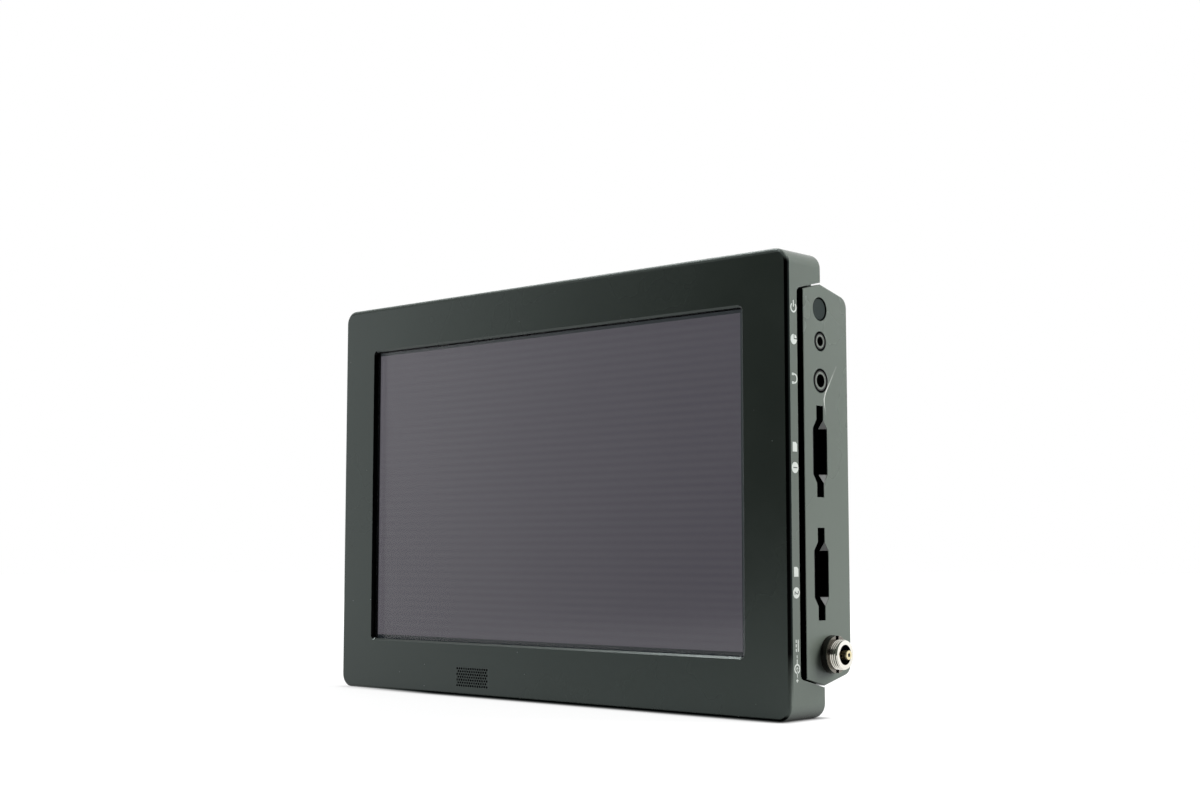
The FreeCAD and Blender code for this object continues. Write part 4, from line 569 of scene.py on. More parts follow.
# Painted shade on the left wall of the screen opening.
left_wall = times(between(place_x, *OPENING_LEFT), between(place_z, *OPENING_SPAN),
                  between(behind_front, *OPENING_DEPTH))
print("side_slot_shade", SLOT_DEPTH / MM, "mm under the side")

# %% [markdown]
# The holes of the speaker grille get painted shade too: their walls are painted black, and so is a narrow rim
# round each, which makes the holes look wider. The rims could be modelled, with many small faces that nobody
# sees. The holes stand in rows, and every second row is shifted by half a step, so rounding gives the
# distance to the nearest hole. A metal with a black colour mirrors next to nothing, so all painted shade
# stays black beside a white ground. Hands have dulled the rounded edge along the top, so it is rougher.

# %% Grille holes, and the finished paint
# Black for all painted shade on the housing, the side plate and the jacks.
PAINTED_SHADE_BLACK = (0.003, 0.003, 0.003)
GRILLE_ROWS, GRILLE_COLUMNS = mm(0.88, 1.035)
GRILLE_RIM, GRILLE_SKIN = mm(0.37, 0.04)
GRILLE_REACH = mm(6.65, 7.17)
TOP_EDGE, TOP_DULL = 1.3 * MM, 0.30


def off_grid(steps, pitch):
    """How far a place lies from the nearest whole step."""
    return times(minus(steps, calc("ROUND", steps)), pitch)


grille_low, grille_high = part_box("speaker_grille")
grille_middle = middle_of("speaker_grille")
off_x = minus(place_x, grille_middle.x)
level = over(minus(place_z, grille_middle.z), GRILLE_ROWS)
odd_row = calc("MODULO", size_of(calc("ROUND", level)), 2.0)
along = plus(over(off_x, GRILLE_COLUMNS), times(odd_row, 0.5))
to_hole = distance(off_grid(along, GRILLE_COLUMNS), off_grid(level, GRILLE_ROWS))
row_reach = ramp(odd_row, 0.0, 1.0, *GRILLE_REACH, smooth=False)
# Painted shade in the grille holes and on a narrow rim round each.
on_rim = times(below(to_hole, GRILLE_RIM), below(size_of(off_x), row_reach))
in_hole = above(behind_front, GRILLE_SKIN)
grille_holes = times(between(place_x, grille_low.x, grille_high.x),
                     between(place_z, grille_low.z, grille_high.z), most(in_hole, on_rim))

# All painted shade of the housing goes on as black metal.
painted_shade_share = most(side_slot_shade, edge_line, left_wall, grille_holes)
top_edge = times(above(place_z, stand_high.z - TOP_EDGE), below(behind_front, TOP_EDGE), TOP_DULL)
shine = shader.inputs["Roughness"].links[0].from_socket
feed(shader, Base_Color=blend(painted_shade_share, body, PAINTED_SHADE_BLACK), Metallic=painted_shade_share,
     Roughness=plus(shine, top_edge, clamp=True))
print("grille holes", GRILLE_COLUMNS / MM, "mm apart")

# %% [markdown]
# The side plates wear the same paint. In use a cable has scraped the right one, so one faint bright line
# bends past the lower jack. A thin strip of mesh could lie there, but a scrape has no thickness and no hard
# border. So it is the distance to a few straight runs; both of its ends fade, and noise makes it uneven.
# Painted shade gives the holes of the button and the jacks dark rims, and paints black the walls of the card
# slots and the plate's front edge, where the gap lies in shade.

# %% Side plate paint with a scrape
PLATE_PAINT = [c * 1.12 for c in PAINT]
SCRAPE = [(15.4, 96.5), (12.6, 92.4), (10.1, 88.9), (9.4, 87.1), (9.5, 85.6), (10.1, 82.9)]
SCRAPE_HALF = 0.30 * MM
SCRAPE_FADES = mm(96.5, 88.2), mm(82.9, 87.3)
SCRAPE_GREY = (0.48, 0.49, 0.46)
HOLE_RIMS = {"power_button": mm(3.2, 0.22), "headphone_jack": mm(3.25, 0.30), "remote_jack": mm(2.65, 0.30)}
CONTROL_Y = 7.8 * MM
SLOT_REACH, SLOT_FACE = mm(3.6, 0.3)
SLOT_SPAN = mm(24, 88)
PLATE_EDGE = 0.1 * MM


def from_axis(tree, y, z):
    """Distance from a line along X."""
    axes = axes_of(tree)
    return distance(minus(axes[1], y), minus(axes[2], z))


def distance_to_run(y, z, first, second):
    """Distance in Y and Z to a straight run between two places."""
    (y1, z1), (y2, z2) = mm(*first), mm(*second)
    span_y, span_z = y2 - y1, z2 - z1
    length = span_y ** 2 + span_z ** 2
    off_y, off_z = minus(y, y1), minus(z, z1)
    share = plus(times(off_y, span_y / length), times(off_z, span_z / length), clamp=True)
    return distance(minus(off_y, times(share, span_y)), minus(off_z, times(share, span_z)))


tree, shader, body = painted_metal("panel_paint", PLATE_PAINT, 0.28)
place_x, place_y, place_z = axes_of(tree)
on_right = above(place_x, 0.0)
nearest = calc("MINIMUM", *[distance_to_run(place_y, place_z, *pair) for pair in zip(SCRAPE, SCRAPE[1:])])
scraped = ramp(nearest, SCRAPE_HALF, SCRAPE_HALF * 0.3)
uneven = ramp(cloud(object_place(tree), 700, 4.0, 0.7), 0.35, 0.65, 0.6, 1.0)
fades = [ramp(place_z, *ends, 0.12, 1.0) for ends in SCRAPE_FADES]
scraped_paint = blend(times(scraped, uneven, *fades, on_right), body, SCRAPE_GREY)

# Painted shade: dark rims round the holes of the button and the jacks.
rims = [ramp(from_axis(tree, CONTROL_Y, middle_of(node).z), hole_radius + rim_width, hole_radius)
        for node, (hole_radius, rim_width) in HOLE_RIMS.items()]
slot_y = middle_of("card_reader_upper").y
# Painted shade on the walls of the card slots.
slot_walls = times(between(place_x, 0.0, PANEL_HIGH.x - SLOT_FACE),
                   between(place_y, slot_y - SLOT_REACH, slot_y + SLOT_REACH), between(place_z, *SLOT_SPAN))
# Painted shade on the plate's front edge, in the gap beside the housing.
front_edge = below(place_y, PANEL_LOW.y + PLATE_EDGE)
painted_shade_parts = most(front_edge, times(most(*rims), on_right), slot_walls)
feed(shader, Base_Color=blend(painted_shade_parts, scraped_paint, PAINTED_SHADE_BLACK), Metallic=painted_shade_parts)

# %% [markdown]
# Plastics: the rear cover has a spark-eroded mould texture, coarse enough to see; the battery plates
# and connector bodies are finer; the button is duller and darker. Batteries have rubbed the edges of
# their plates. All are the same recipe with other numbers, because the eye tells plastics apart by
# grain and shine more than by colour.

# %% Plastics
grained_finish("cover_plastic", (0.036, 0.041, 0.040), 0.55, grain_scale=1500,
               grain_height=0.00006, tint=0.10)
tree, shader, body = grained_finish("plate_plastic", (0.022, 0.023, 0.024), 0.48,
                                    grain_scale=2200, grain_height=0.00003)
slid = use_group(tree, wear, Width=0.0005, Break_Scale=240, Amount=0.55)["Mask"]
feed(shader, Base_Color=blend(slid, body, (0.085, 0.085, 0.088)))
grained_finish("black_plastic", (0.020, 0.020, 0.021), 0.45, grain_scale=3000)
grained_finish("button_plastic", (0.019, 0.025, 0.024), 0.62, grain_scale=3600,
               grain_height=0.00003, Specular_IOR_Level=0.12)
grained_finish("latch_plastic", (0.040, 0.043, 0.044), 0.50, grain_scale=2400)
grained_finish("white_plastic", (0.74, 0.73, 0.68), 0.40, tint=0.04)

# %% [markdown]
# The two jacks show a ring of the plate's grey, with painted shade round it as a black rim and in the black
# bore. The rings could be pieces of their own, but they are only half a millimetre wide. The distance from
# the jack's axis, worked out from Y and Z, tells rim, ring and bore apart.

# %% Jack rings
RING_FROM, RING_RIM = mm(0.12, 0.40)
JACK_PAINT = [c * 1.55 for c in PAINT]


def jack_finish(node, axis_z, radius, bore):
    """Plastic with a grey ring between painted shade: a black rim and a black bore."""
    tree, shader, body = grained_finish(node + "_plastic", JACK_PAINT, 0.36, grain_scale=3200)
    on_ring = between(from_axis(tree, CONTROL_Y, axis_z), bore + RING_FROM, radius - RING_RIM)
    # Painted shade outside the ring and in the bore.
    feed(shader, Base_Color=blend(on_ring, PAINTED_SHADE_BLACK, body))


jack_finish("headphone_jack", *mm(92.05, 2.8, 1.8))
jack_finish("remote_jack", *mm(103, 2.2, 1.3))

# %% [markdown]
# Metals: plated sheet for shells and chassis, bright nickel for turned sockets, gold on contacts, bare
# brass, black screws, milled aluminium. One colour and one roughness could do for each, but then they
# look cast from the same foil. All share the brushed lines, laid along the axis that each was rolled,
# turned or milled along.

# %% Metals
metal_finish("sheet_steel", (0.56, 0.56, 0.57), 0.34)
metal_finish("nickel", (0.70, 0.68, 0.62), 0.12, lines=(3500, 200, 200), spread=0.04)
metal_finish("gold", (0.83, 0.60, 0.26), 0.24, spread=0.06)
metal_finish("brass", (0.70, 0.55, 0.29), 0.30, lines=(300, 300, 3500))
metal_finish("black_steel", (0.060, 0.060, 0.063), 0.38, lines=(1800, 1800, 1800))
metal_finish("aluminium", (0.66, 0.66, 0.67), 0.36, lines=(3800, 3800, 120))
metal_finish("spring_steel", (0.60, 0.60, 0.60), 0.26, lines=(120, 3500, 3500))

# %% [markdown]
# The nut of the power socket is plated in dark nickel: where the spanner and the plug rub, its edges shine
# brighter, which edge wear gives. The floor of the spanner's slot across it is painted black as shade, and
# behind its face the ring is painted darker as shade and dark reflection. The nut is one solid, so these are
# told apart by place and not by pieces.

# %% Dark nut
NUT_SLOT_HALF, NUT_SLOT_DEEP = mm(0.72, 1.05)
NUT_FACE, SIDE_SHADE_SHARE = 0.25 * MM, 0.75
BARE_NICKEL, NUT_SIDE_SHADE, NUT_SLOT_SHADE = (0.55, 0.50, 0.42), (0.010, 0.009, 0.008), (0.004, 0.004, 0.004)
tree, shader, dull = metal_finish("dark_nut", (0.17, 0.160, 0.142), 0.22, lines=(2500, 300, 300), spread=0.06)
bare = use_group(tree, wear, Width=0.0003, Break_Scale=380, Amount=0.8)["Mask"]
nut_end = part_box("power_socket_nut")[1].x
place_x, place_y, _ = axes_of(tree)
off_middle = size_of(minus(place_y, middle_of("power_socket_nut").y))
# Painted shade on the floor of the spanner's slot.
nut_slot = times(below(off_middle, NUT_SLOT_HALF), above(place_x, nut_end - NUT_SLOT_DEEP))
# Painted shade and painted dark reflection on the ring behind the face.
nut_side = times(below(place_x, nut_end - NUT_FACE), SIDE_SHADE_SHARE)
worn_and_shaded = blend(nut_side, blend(bare, dull, BARE_NICKEL), NUT_SIDE_SHADE)
feed(shader, Base_Color=blend(nut_slot, worn_and_shaded, NUT_SLOT_SHADE))

# %% [markdown]
# The pin of the power socket is a brass tube, so its end shows the dark shade of its bore. A real hole would
# be lost in a few pixels; the distance from the pin's axis near its end paints that shade in the finish.

# %% Hollow pin
PIN_HOLE, PIN_FACE = mm(0.55, 0.05)
pin_end, pin_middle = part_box("power_socket_pin")[1].x, middle_of("power_socket_pin")
tree, shader, bright = metal_finish("hollow_pin", (0.72, 0.64, 0.40), 0.28, lines=(300, 3500, 3500))
in_bore = below(from_axis(tree, pin_middle.y, pin_middle.z), PIN_HOLE)
# Painted shade of the bore at the pin's end.
painted_bore_shade = times(in_bore, above(axes_of(tree)[0], pin_end - PIN_FACE))
feed(shader, Base_Color=blend(painted_bore_shade, bright, (0.006, 0.006, 0.005)))

# %% [markdown]
# The board is green solder resist over copper: straight tracks show as slightly lighter bands, with
# plated dots. They could be modelled or drawn on an image, but the board lies inside the housing.
# Rounding Object coordinates to a grid gives both and costs nothing. The film of the display's ribbon,
# the foam and the diffuser are grained like the plastics.

# %% Board, film, foam and diffuser
TRACK_PITCH = 1.27 * MM
TRACK_HALF, DOT_SQUARE = 0.16, 0.05
RESIST, TRACK_GREEN, PLATED = (0.012, 0.090, 0.040), (0.030, 0.150, 0.065), (0.62, 0.60, 0.54)
tree, shader = start_finish("board", Roughness=0.32)
place_x, _, place_z = axes_of(tree)
column, row = [over(axis, TRACK_PITCH) for axis in (place_x, place_z)]
off_column, off_row = [minus(calc("FRACT", steps), 0.5) for steps in (column, row)]
lane_place = first_out(tree, "ShaderNodeCombineXYZ", X=times(column, 0.05), Y=times(calc("FLOOR", row), 3.7))
lane_cloud = cloud(lane_place, 1.0, 1.0)
track = times(below(size_of(off_row), TRACK_HALF), above(lane_cloud, 0.5))
dot_far = plus(times(off_column, off_column), times(off_row, off_row))
dot = times(below(dot_far, DOT_SQUARE), below(lane_cloud, 0.36))
feed(shader, Base_Color=blend(dot, blend(track, RESIST, TRACK_GREEN), PLATED), Metallic=dot)
raise_by(shader, track, 0.00003)

grained_finish("ribbon_film", (0.48, 0.25, 0.05), 0.28, grain_scale=700, grain_height=0.00001)
grained_finish("foam", (0.030, 0.030, 0.031), 0.85, spread=0.05, grain_scale=1700, grain_height=0.0001)
grained_finish("diffuser", (0.80, 0.80, 0.78), 0.55, grain_scale=1600, tint=0.03)

# %% [markdown]
# The display is on without a picture, so its lamp glows through: a purple grey with faint lines across.
# Round it runs a dark frame of blue grey, plain black at the left, a printed border, and at the top, where
# the black is painted shade under the wall of the opening. An image could carry all this, but the borders
# have to be sharp from close by, so planes at measured places cut the face into these zones. The lines are a
# sine of the height, weakened by broad noise.

# %% Zones and lines of the display
PICTURE_X, PICTURE_Z = mm(-78.2, 75.35), mm(17.75, 111.3)
BLACK_FROM_Z = 112.25 * MM
RIM_GAP = 0.25 * MM
LEFT_REFLECTION_REACH = 5 * MM
LINE_PITCH, LINE_STRENGTH = 2.3 * MM, 0.35

tree, shader = start_finish("display_dark", Emission_Strength=1.0)
place = object_place(tree)
place_x, _, place_z = axes_of(tree)
picture = times(between(place_x, *PICTURE_X), between(place_z, *PICTURE_Z))
# Black zone: a printed border at the left, painted shade under the top wall.
black_zone = most(below(place_x, PICTURE_X[0]), above(place_z, BLACK_FROM_Z))
wave = calc("SINE", times(place_z, 2 * math.pi / LINE_PITCH))
lines = times(wave, cloud(place, 45, 3.0, 0.6), LINE_STRENGTH)
blotch = plus(lines, cloud(place, 9.0, 2.0, 0.5), clamp=True)
# Painted shade: the glow falls off towards the bottom.
painted_low_shade = ramp(place_z, PICTURE_Z[1], PICTURE_Z[0], 0.0, 0.24, smooth=False)
# Painted reflection: a brighter strip at the left of the picture.
painted_left_reflection = ramp(place_x, PICTURE_X[0] + LEFT_REFLECTION_REACH, PICTURE_X[0], 0.0, 0.46)
right_rim = above(place_x, PICTURE_X[1] + RIM_GAP)
print("picture", in_mm(PICTURE_X + PICTURE_Z), "mm")

# %% [markdown]
# The glow that leaks through is painted darker towards the bottom as painted shade, and painted brighter in a
# strip at the left as a painted reflection, where the wall of the opening takes the real reflection away. The
# frame gets painted light as a faint glow, rising towards the top and most at the right. A lamp behind the
# display would have to shine through it, with much noise; an emission colour on its face is even and quick.

# %% Colours of the display
even_leak = blend(blotch, (0.078, 0.071, 0.087), (0.099, 0.093, 0.107))
leak_with_painted_shade = blend(painted_low_shade, even_leak, (0.030, 0.026, 0.036))
leak_and_painted_reflection = blend(painted_left_reflection, leak_with_painted_shade, (0.195, 0.182, 0.205))
# Painted light on the frame, darker towards the bottom and brighter at the right.
painted_rim_shade = blend(ramp(place_z, *PICTURE_Z), (0.006, 0.009, 0.011), (0.034, 0.040, 0.043))
painted_rim_light = blend(right_rim, painted_rim_shade, (0.050, 0.061, 0.060))
frame_painted_light = blend(black_zone, painted_rim_light, (0.0, 0.0, 0.0))
grey = blend(blotch, (0.20, 0.185, 0.215), (0.25, 0.235, 0.265))
frame_grey = blend(cloud(place, 60), (0.038, 0.045, 0.050), (0.052, 0.060, 0.066))
face_colour = blend(black_zone, blend(picture, frame_grey, grey), (0.003, 0.003, 0.004))
feed(shader, Base_Color=face_colour, Emission_Color=blend(picture, frame_painted_light, leak_and_painted_reflection),
     Roughness=ramp(cloud(place, 25, 3.0, 0.6), 0.2, 0.8, 0.20, 0.25))
print("display coloured")

# %% [markdown]
# The cover glass lies on the display. Real glass would need light to bend through it before the display
# is lit; a thin clear layer with a low Alpha shows the same and renders without noise. Its back face
# stands a hair off the display, so that two faces never share one plane.

# %% Cover glass
GLASS_LIFT, GLASS_EDGE = mm(0.04, 0.18)
tree, shader = start_finish("screen_glass", Alpha=0.20, IOR=1.5, Specular_IOR_Level=0.75)
wiped = cloud(object_place(tree), 38, 5.0, 0.65)
specks = use_group(tree, dust, Scale=260, Size=0.045, Share=0.035)["Mask"]
tone = blend(wiped, (0.150, 0.140, 0.162), (0.172, 0.162, 0.184))
feed(shader, Base_Color=blend(times(specks, 0.6), tone, (0.5, 0.5, 0.5)),
     Roughness=ramp(wiped, 0.2, 0.85, 0.07, 0.11))


def finish_piece(name, source, finish, slot, *replaced):
    """Turns a bmesh into a piece with outward faces that rides on the monitor."""
    bmesh.ops.recalc_face_normals(source, faces=source.faces)
    mesh = bpy.data.meshes.new(name)
    source.to_mesh(mesh)
    source.free()
    mesh.materials.append(FINISHES[finish])
    piece = put(name, mesh)
    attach(piece, "monitor")
    if replaced:
        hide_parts(*replaced)
    print(name, len(mesh.polygons), "faces")
    return piece


plate = bmesh.new()
bmesh.ops.create_cube(plate, size=1.0)
low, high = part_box("cover_glass")
high = high - Vector((0.0, GLASS_LIFT, 0.0))
for vert in plate.verts:
    vert.co = [low[i] if vert.co[i] < 0 else high[i] for i in range(3)]
bmesh.ops.bevel(plate, geom=plate.edges[:], offset=GLASS_EDGE, segments=2, affect="EDGES", profile=0.5)
finish_piece("cover_glass_plate", plate, "screen_glass", "screen_glass", "cover_glass")

# %% [markdown]
# A finger reaches into the notch of each card slot to push the card home. The corners of the notch are
# milled as small slopes, and fingers have rubbed their paint to light grey metal. They could be cut
# from the plate, but the solids stay as they are. So each slope is a wedge that fills a corner of the
# notch and leaves the way of the card free.

# %% Slopes in the finger notches
NOTCH_HALF, SLOT_HALF = mm(3.4, 6.3), mm(1.65, 8.7)
SLOPE_DEEP, SLOPE_FOOT, SLOPE_BITE = mm(1.75, 2.6, 0.03)
grained_finish("notch_bare", (0.42, 0.43, 0.42), 0.5, grain_scale=1900, tint=0.08)


def bridge(target, first, second):
    """Faces between two rings of points."""
    return [target.faces.new((first[i - 1], second[i - 1], second[i], first[i])) for i in range(len(first))]


slopes = bmesh.new()
top_x = PANEL_HIGH.x - SLOPE_BITE
for reader in ("card_reader_upper", "card_reader_lower"):
    centre = middle_of(reader)
    for across, upward in ((-1, -1), (-1, 1), (1, -1), (1, 1)):
        side_y = centre.y + across * SLOT_HALF[0]
        corners = [(top_x, centre.y + across * (NOTCH_HALF[0] + SLOPE_BITE),
                    centre.z + upward * (NOTCH_HALF[1] + SLOPE_BITE)),
                   (top_x, side_y, centre.z + upward * (SLOT_HALF[1] + SLOPE_BITE)),
                   (top_x - SLOPE_DEEP, side_y, centre.z + upward * NOTCH_HALF[1])]
        top = [slopes.verts.new(corner) for corner in corners]
        foot = [slopes.verts.new((top_x - SLOPE_FOOT, y, z)) for _, y, z in corners]
        slopes.faces.new(top)
        for hidden in [slopes.faces.new(foot[::-1])] + bridge(slopes, top, foot):
            hidden.material_index = 1
notch_slopes = finish_piece("finger_notch_slopes", slopes, "notch_bare", "panel_paint")
notch_slopes.data.materials.append(FINISHES["panel_paint"])

# %% [markdown]
# Marks are printed on the narrow strip in front of the connectors, white and about two millimetres
# wide, most of them turned so that they read from the top down. An image could carry them, but it blurs
# from close by. So each is drawn flat in its own u and v, then laid on the strip as a thin raised
# print. They are plain signs that any such object carries: power, display tap, headphones, two numbered
# cards and direct current.


# %% Drawing tools for printed marks
PRINT_SINK, PRINT_RISE = mm(0.01, 0.02)
STROKE = 0.42
STRIP_X, MARK_Y = stand_high.x, -4.9 * MM


def arc_points(centre, radius, start, end, steps):
    """Points along an arc; angles in degrees, counter-clockwise from the u axis."""
    angles = [math.radians(start + (end - start) * step / steps) for step in range(steps + 1)]
    return [(centre[0] + radius * math.cos(angle), centre[1] + radius * math.sin(angle)) for angle in angles]


def arc_band(centre, radius, start, end, stroke=STROKE, steps=20):
    """A curved stroke."""
    outer, inner = [arc_points(centre, radius + off, start, end, steps) for off in (stroke / 2, -stroke / 2)]
    return [outer + inner[::-1]]


def ring(centre, radius, stroke=STROKE):
    """A full circle, as two half strokes."""
    return arc_band(centre, radius, 0, 180, stroke) + arc_band(centre, radius, 180, 360, stroke)


def disc(centre, radius, start=0, end=360):
    """A filled circle, or a slice of one."""
    points = arc_points(centre, radius, start, end, 32)
    return [points[:-1] if end - start == 360 else [centre] + points]


def bars(*corners):
    """Rectangles, each from its low corner to its high one, as u, v, u, v."""
    return [[(u1, v1), (u2, v1), (u2, v2), (u1, v2)] for u1, v1, u2, v2 in corners]


def lay_prints(target, shapes, place):
    """Adds flat shapes, in millimetres, to a bmesh as thin prints."""
    for points in shapes:
        lower, upper = [[target.verts.new(place @ Vector((u * MM, v * MM, height))) for u, v in points]
                        for height in (-PRINT_SINK, PRINT_RISE)]
        target.faces.new(lower[::-1])
        target.faces.new(upper)
        bridge(target, upper, lower)


def strip_place(side, z, upright=False):
    """A place on the side strip: u runs down the strip, or along Y for an upright mark."""
    along_y, down, up = Vector((0, side, 0)), Vector((0, 0, -1)), Vector((0, 0, 1))
    u_axis, v_axis = (along_y, up) if upright else (down, along_y)
    turned = Matrix((u_axis, v_axis, u_axis.cross(v_axis))).transposed().to_4x4()
    return Matrix.Translation((side * STRIP_X, MARK_Y, z * MM)) @ turned


print("strip at x", round(STRIP_X / MM, 2), "mm")

# %% Signs on the right strip
MARK_RADIUS = 1.2
CARD_SPOTS = ("1", 67.6, 73.2), ("2", 34.1, 39.7)
grained_finish("print_white", (0.46, 0.49, 0.46), 0.6, grain_scale=3000, tint=0.05, Specular_IOR_Level=0.2)
grained_finish("print_dark", (0.040, 0.046, 0.044), 0.5, grain_scale=3000)

power_sign = arc_band((0, 0), MARK_RADIUS, 128, 412) + bars((-0.19, 0.2, 0.19, 2.0))
tap_sign = disc((0, 0), 1.4, 90, 360) + disc((0.34, 0.34), 0.95, 0, 90)
phones_sign = arc_band((0, 0.1), MARK_RADIUS, -20, 200)
phones_sign += bars((-1.5, -1.0, -0.85, 0.0), (0.85, -1.0, 1.5, 0.0))
card_sign = [[(-1.3, -1.0), (1.3, -1.0), (1.3, 1.0), (-0.7, 1.0), (-1.3, 0.4)]]
number_disc = disc((0, 0), 1.5)
current_sign = bars((-5.4, 0.35, -2.2, 0.75), (-5.4, -0.55, -4.6, -0.15), (-4.2, -0.55, -3.4, -0.15),
                    (-3.0, -0.55, -2.2, -0.15))
pole_sign = ring((2.3, 0.0), 1.1) + disc((2.3, 0.0), 0.4) + bars(
    (2.3, -0.15, 4.6, 0.15), (-0.2, -0.15, 1.0, 0.15), (4.9, -0.15, 5.9, 0.15), (5.25, -0.5, 5.55, -0.15),
    (5.25, 0.15, 5.55, 0.5), (-1.3, -0.15, -0.5, 0.15))

RIGHT_SIGNS = [(power_sign, 111.1, True), (tap_sign, 102.4, True), (phones_sign, 91.7, False)]
for _, disc_z, card_z in CARD_SPOTS:
    RIGHT_SIGNS += [(card_sign, card_z, False), (number_disc, disc_z, False)]
RIGHT_SIGNS += [(current_sign, 16.3, False), (pole_sign, 16.3, False)]
prints = bmesh.new()
for shapes, height, upright in RIGHT_SIGNS:
    lay_prints(prints, shapes, strip_place(1, height, upright))
finish_piece("side_signs", prints, "print_white", "white_plastic")

# %% [markdown]
# The two card slots are numbered. A text object is the quickest way to a numeral: it is turned into a
# mesh first, and then its points are laid on the disc, so that the finished piece sits at the origin.

# %% Numerals in the discs
FONT_SHARE = 1.4


def plain_mesh(carrier):
    """The mesh that an object shows, text and modifiers worked out."""
    bpy.context.view_layer.update()
    return bpy.data.meshes.new_from_object(carrier.evaluated_get(bpy.context.evaluated_depsgraph_get()))


def lay_numeral(target, digit, height, place):
    """Adds a digit to a bmesh, a hair above the print under it."""
    letters = bpy.data.curves.new("numeral_" + digit, "FONT")
    letters.body = digit
    letters.size = height * MM * FONT_SHARE
    letters.align_x = letters.align_y = "CENTER"
    letters.extrude = PRINT_RISE
    letters.resolution_u = 4
    carrier = put("numeral_" + digit, letters)
    mesh = plain_mesh(carrier)
    bpy.data.objects.remove(carrier)
    mesh.transform(place @ Matrix.Translation((0, 0, PRINT_RISE)))
    target.from_mesh(mesh)
    bpy.data.meshes.remove(mesh)


numbers = bmesh.new()
for digit, disc_z, _ in CARD_SPOTS:
    lay_numeral(numbers, digit, 1.9, strip_place(1, disc_z))
bmesh.ops.remove_doubles(numbers, verts=numbers.verts, dist=0.001 * MM)
finish_piece("slot_numbers", numbers, "print_dark", "black_plastic")

# %% [markdown]
# The left strip carries arrows: into the monitor beside its inputs, out of it beside its outputs, and
# the numbers of the two audio sockets. They are drawn with the same tools as the signs on the right.
# Their heights could be written down too; here each takes its height from its socket, so that the two
# stay together.

# %% Signs on the left strip
arrow_in = bars((-0.2, -0.2, 0.2, 1.3)) + [[(0, -1.3), (0.9, -0.2), (-0.9, -0.2)]]
arrow_out = bars((-0.2, -1.3, 0.2, 0.2)) + [[(0, 1.3), (-0.9, 0.2), (0.9, 0.2)]]


def left_place(node):
    """The place on the left strip beside a socket."""
    return strip_place(-1, middle_of(node).z / MM)


left_prints = bmesh.new()
for node, shapes in (("coax_socket_in", arrow_in), ("coax_socket_out", arrow_out),
                     ("digital_socket_in", arrow_in), ("digital_socket_out", arrow_out)):
    lay_prints(left_prints, shapes, left_place(node))
for digit in ("1", "2"):
    beside_socket = left_place("mini_audio_socket_" + digit)
    lay_prints(left_prints, ring((0, 0), 1.3, 0.25), beside_socket)
    lay_numeral(left_prints, digit, 1.6, beside_socket)
bmesh.ops.remove_doubles(left_prints, verts=left_prints.verts, dist=0.0005 * MM)
finish_piece("left_signs", left_prints, "print_white", "white_plastic")

# %% [markdown]
# A screw thread is a ridge that winds round an axis. The Screw modifier could wind it, one object for
# each thread. Geometry Nodes has a spiral curve; a small round profile swept along it gives the ridge,
# and copies of it stand on the points of the starting mesh. So one tree serves the outside thread of
# the power socket and the inside threads of the inserts.


# %% Thread tree
def sweep(tree, curve, radius, corners):
    """A round bar along a curve, closed at its ends."""
    profile = first_out(tree, "GeometryNodeCurvePrimitiveCircle", Resolution=corners, Radius=radius)
    return first_out(tree, "GeometryNodeCurveToMesh", Curve=curve, Profile_Curve=profile, Fill_Caps=True)


def end_tool(tree, tool_in, tool_out, shape):
    """Ends a tree: copies of a shape on the starting points, made real and coated."""
    copies = first_out(tree, "GeometryNodeInstanceOnPoints", Points=tool_in["Geometry"], Instance=shape)
    real = first_out(tree, "GeometryNodeRealizeInstances", Geometry=copies)
    coated = first_out(tree, "GeometryNodeSetMaterial", Geometry=real, Material=tool_in["Material"])
    plug(tool_out["Geometry"], coated)


def run_tool(name, tree, points, finish, body, slot, **values):
    """Runs a tree on loose points; the plain mesh rides on a body."""
    seed = bpy.data.meshes.new(name + "_points")
    seed.from_pydata(points, [], [])
    piece = put(name, seed)
    modifier = piece.modifiers.new("tool", "NODES")
    modifier.node_group = tree
    sockets = {item.name: item.identifier for item in tree.interface.items_tree if item.in_out == "INPUT"}
    for label, value in {"Material": FINISHES[finish], **values}.items():
        modifier[sockets[label]] = value
    made = plain_mesh(piece)
    piece.modifiers.clear()
    piece.data = made
    made.name = name
    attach(piece, body)
    print(name, len(made.polygons), "faces")


thread_tool, tool_in, tool_out = start_group("thread_ridge", {
    "Turns": 4.0, "Radius": 0.004, "Height": 0.0024, "Ridge": 0.0003, "Turn": ("Vector", (0.0, 0.0, 0.0))},
    kind="Geometry")
spiral = first_out(thread_tool, "GeometryNodeCurveSpiral", Resolution=40, Rotations=tool_in["Turns"],
                   Start_Radius=tool_in["Radius"], End_Radius=tool_in["Radius"], Height=tool_in["Height"])
ridge = sweep(thread_tool, spiral, tool_in["Ridge"], 6)
turned = first_out(thread_tool, "GeometryNodeTransform", Geometry=ridge, Rotation=tool_in["Turn"])
end_tool(thread_tool, tool_in, tool_out, turned)

# %% Threads of the power socket and of the inserts
THREAD_GAPS = mm(0.25, 0.28)
THREAD_START = nut_end + THREAD_GAPS[0]
THREAD_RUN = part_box("power_socket_barrel")[1].x - THREAD_GAPS[1] - THREAD_START
socket_middle = middle_of("power_socket_nut")
run_tool("power_socket_thread", thread_tool, [(THREAD_START, socket_middle.y, socket_middle.z)],
         "nickel", "monitor", "nickel", Turns=3.25, Radius=3.86 * MM, Height=THREAD_RUN, Ridge=0.24 * MM,
         Turn=(0.0, math.radians(90), 0.0))

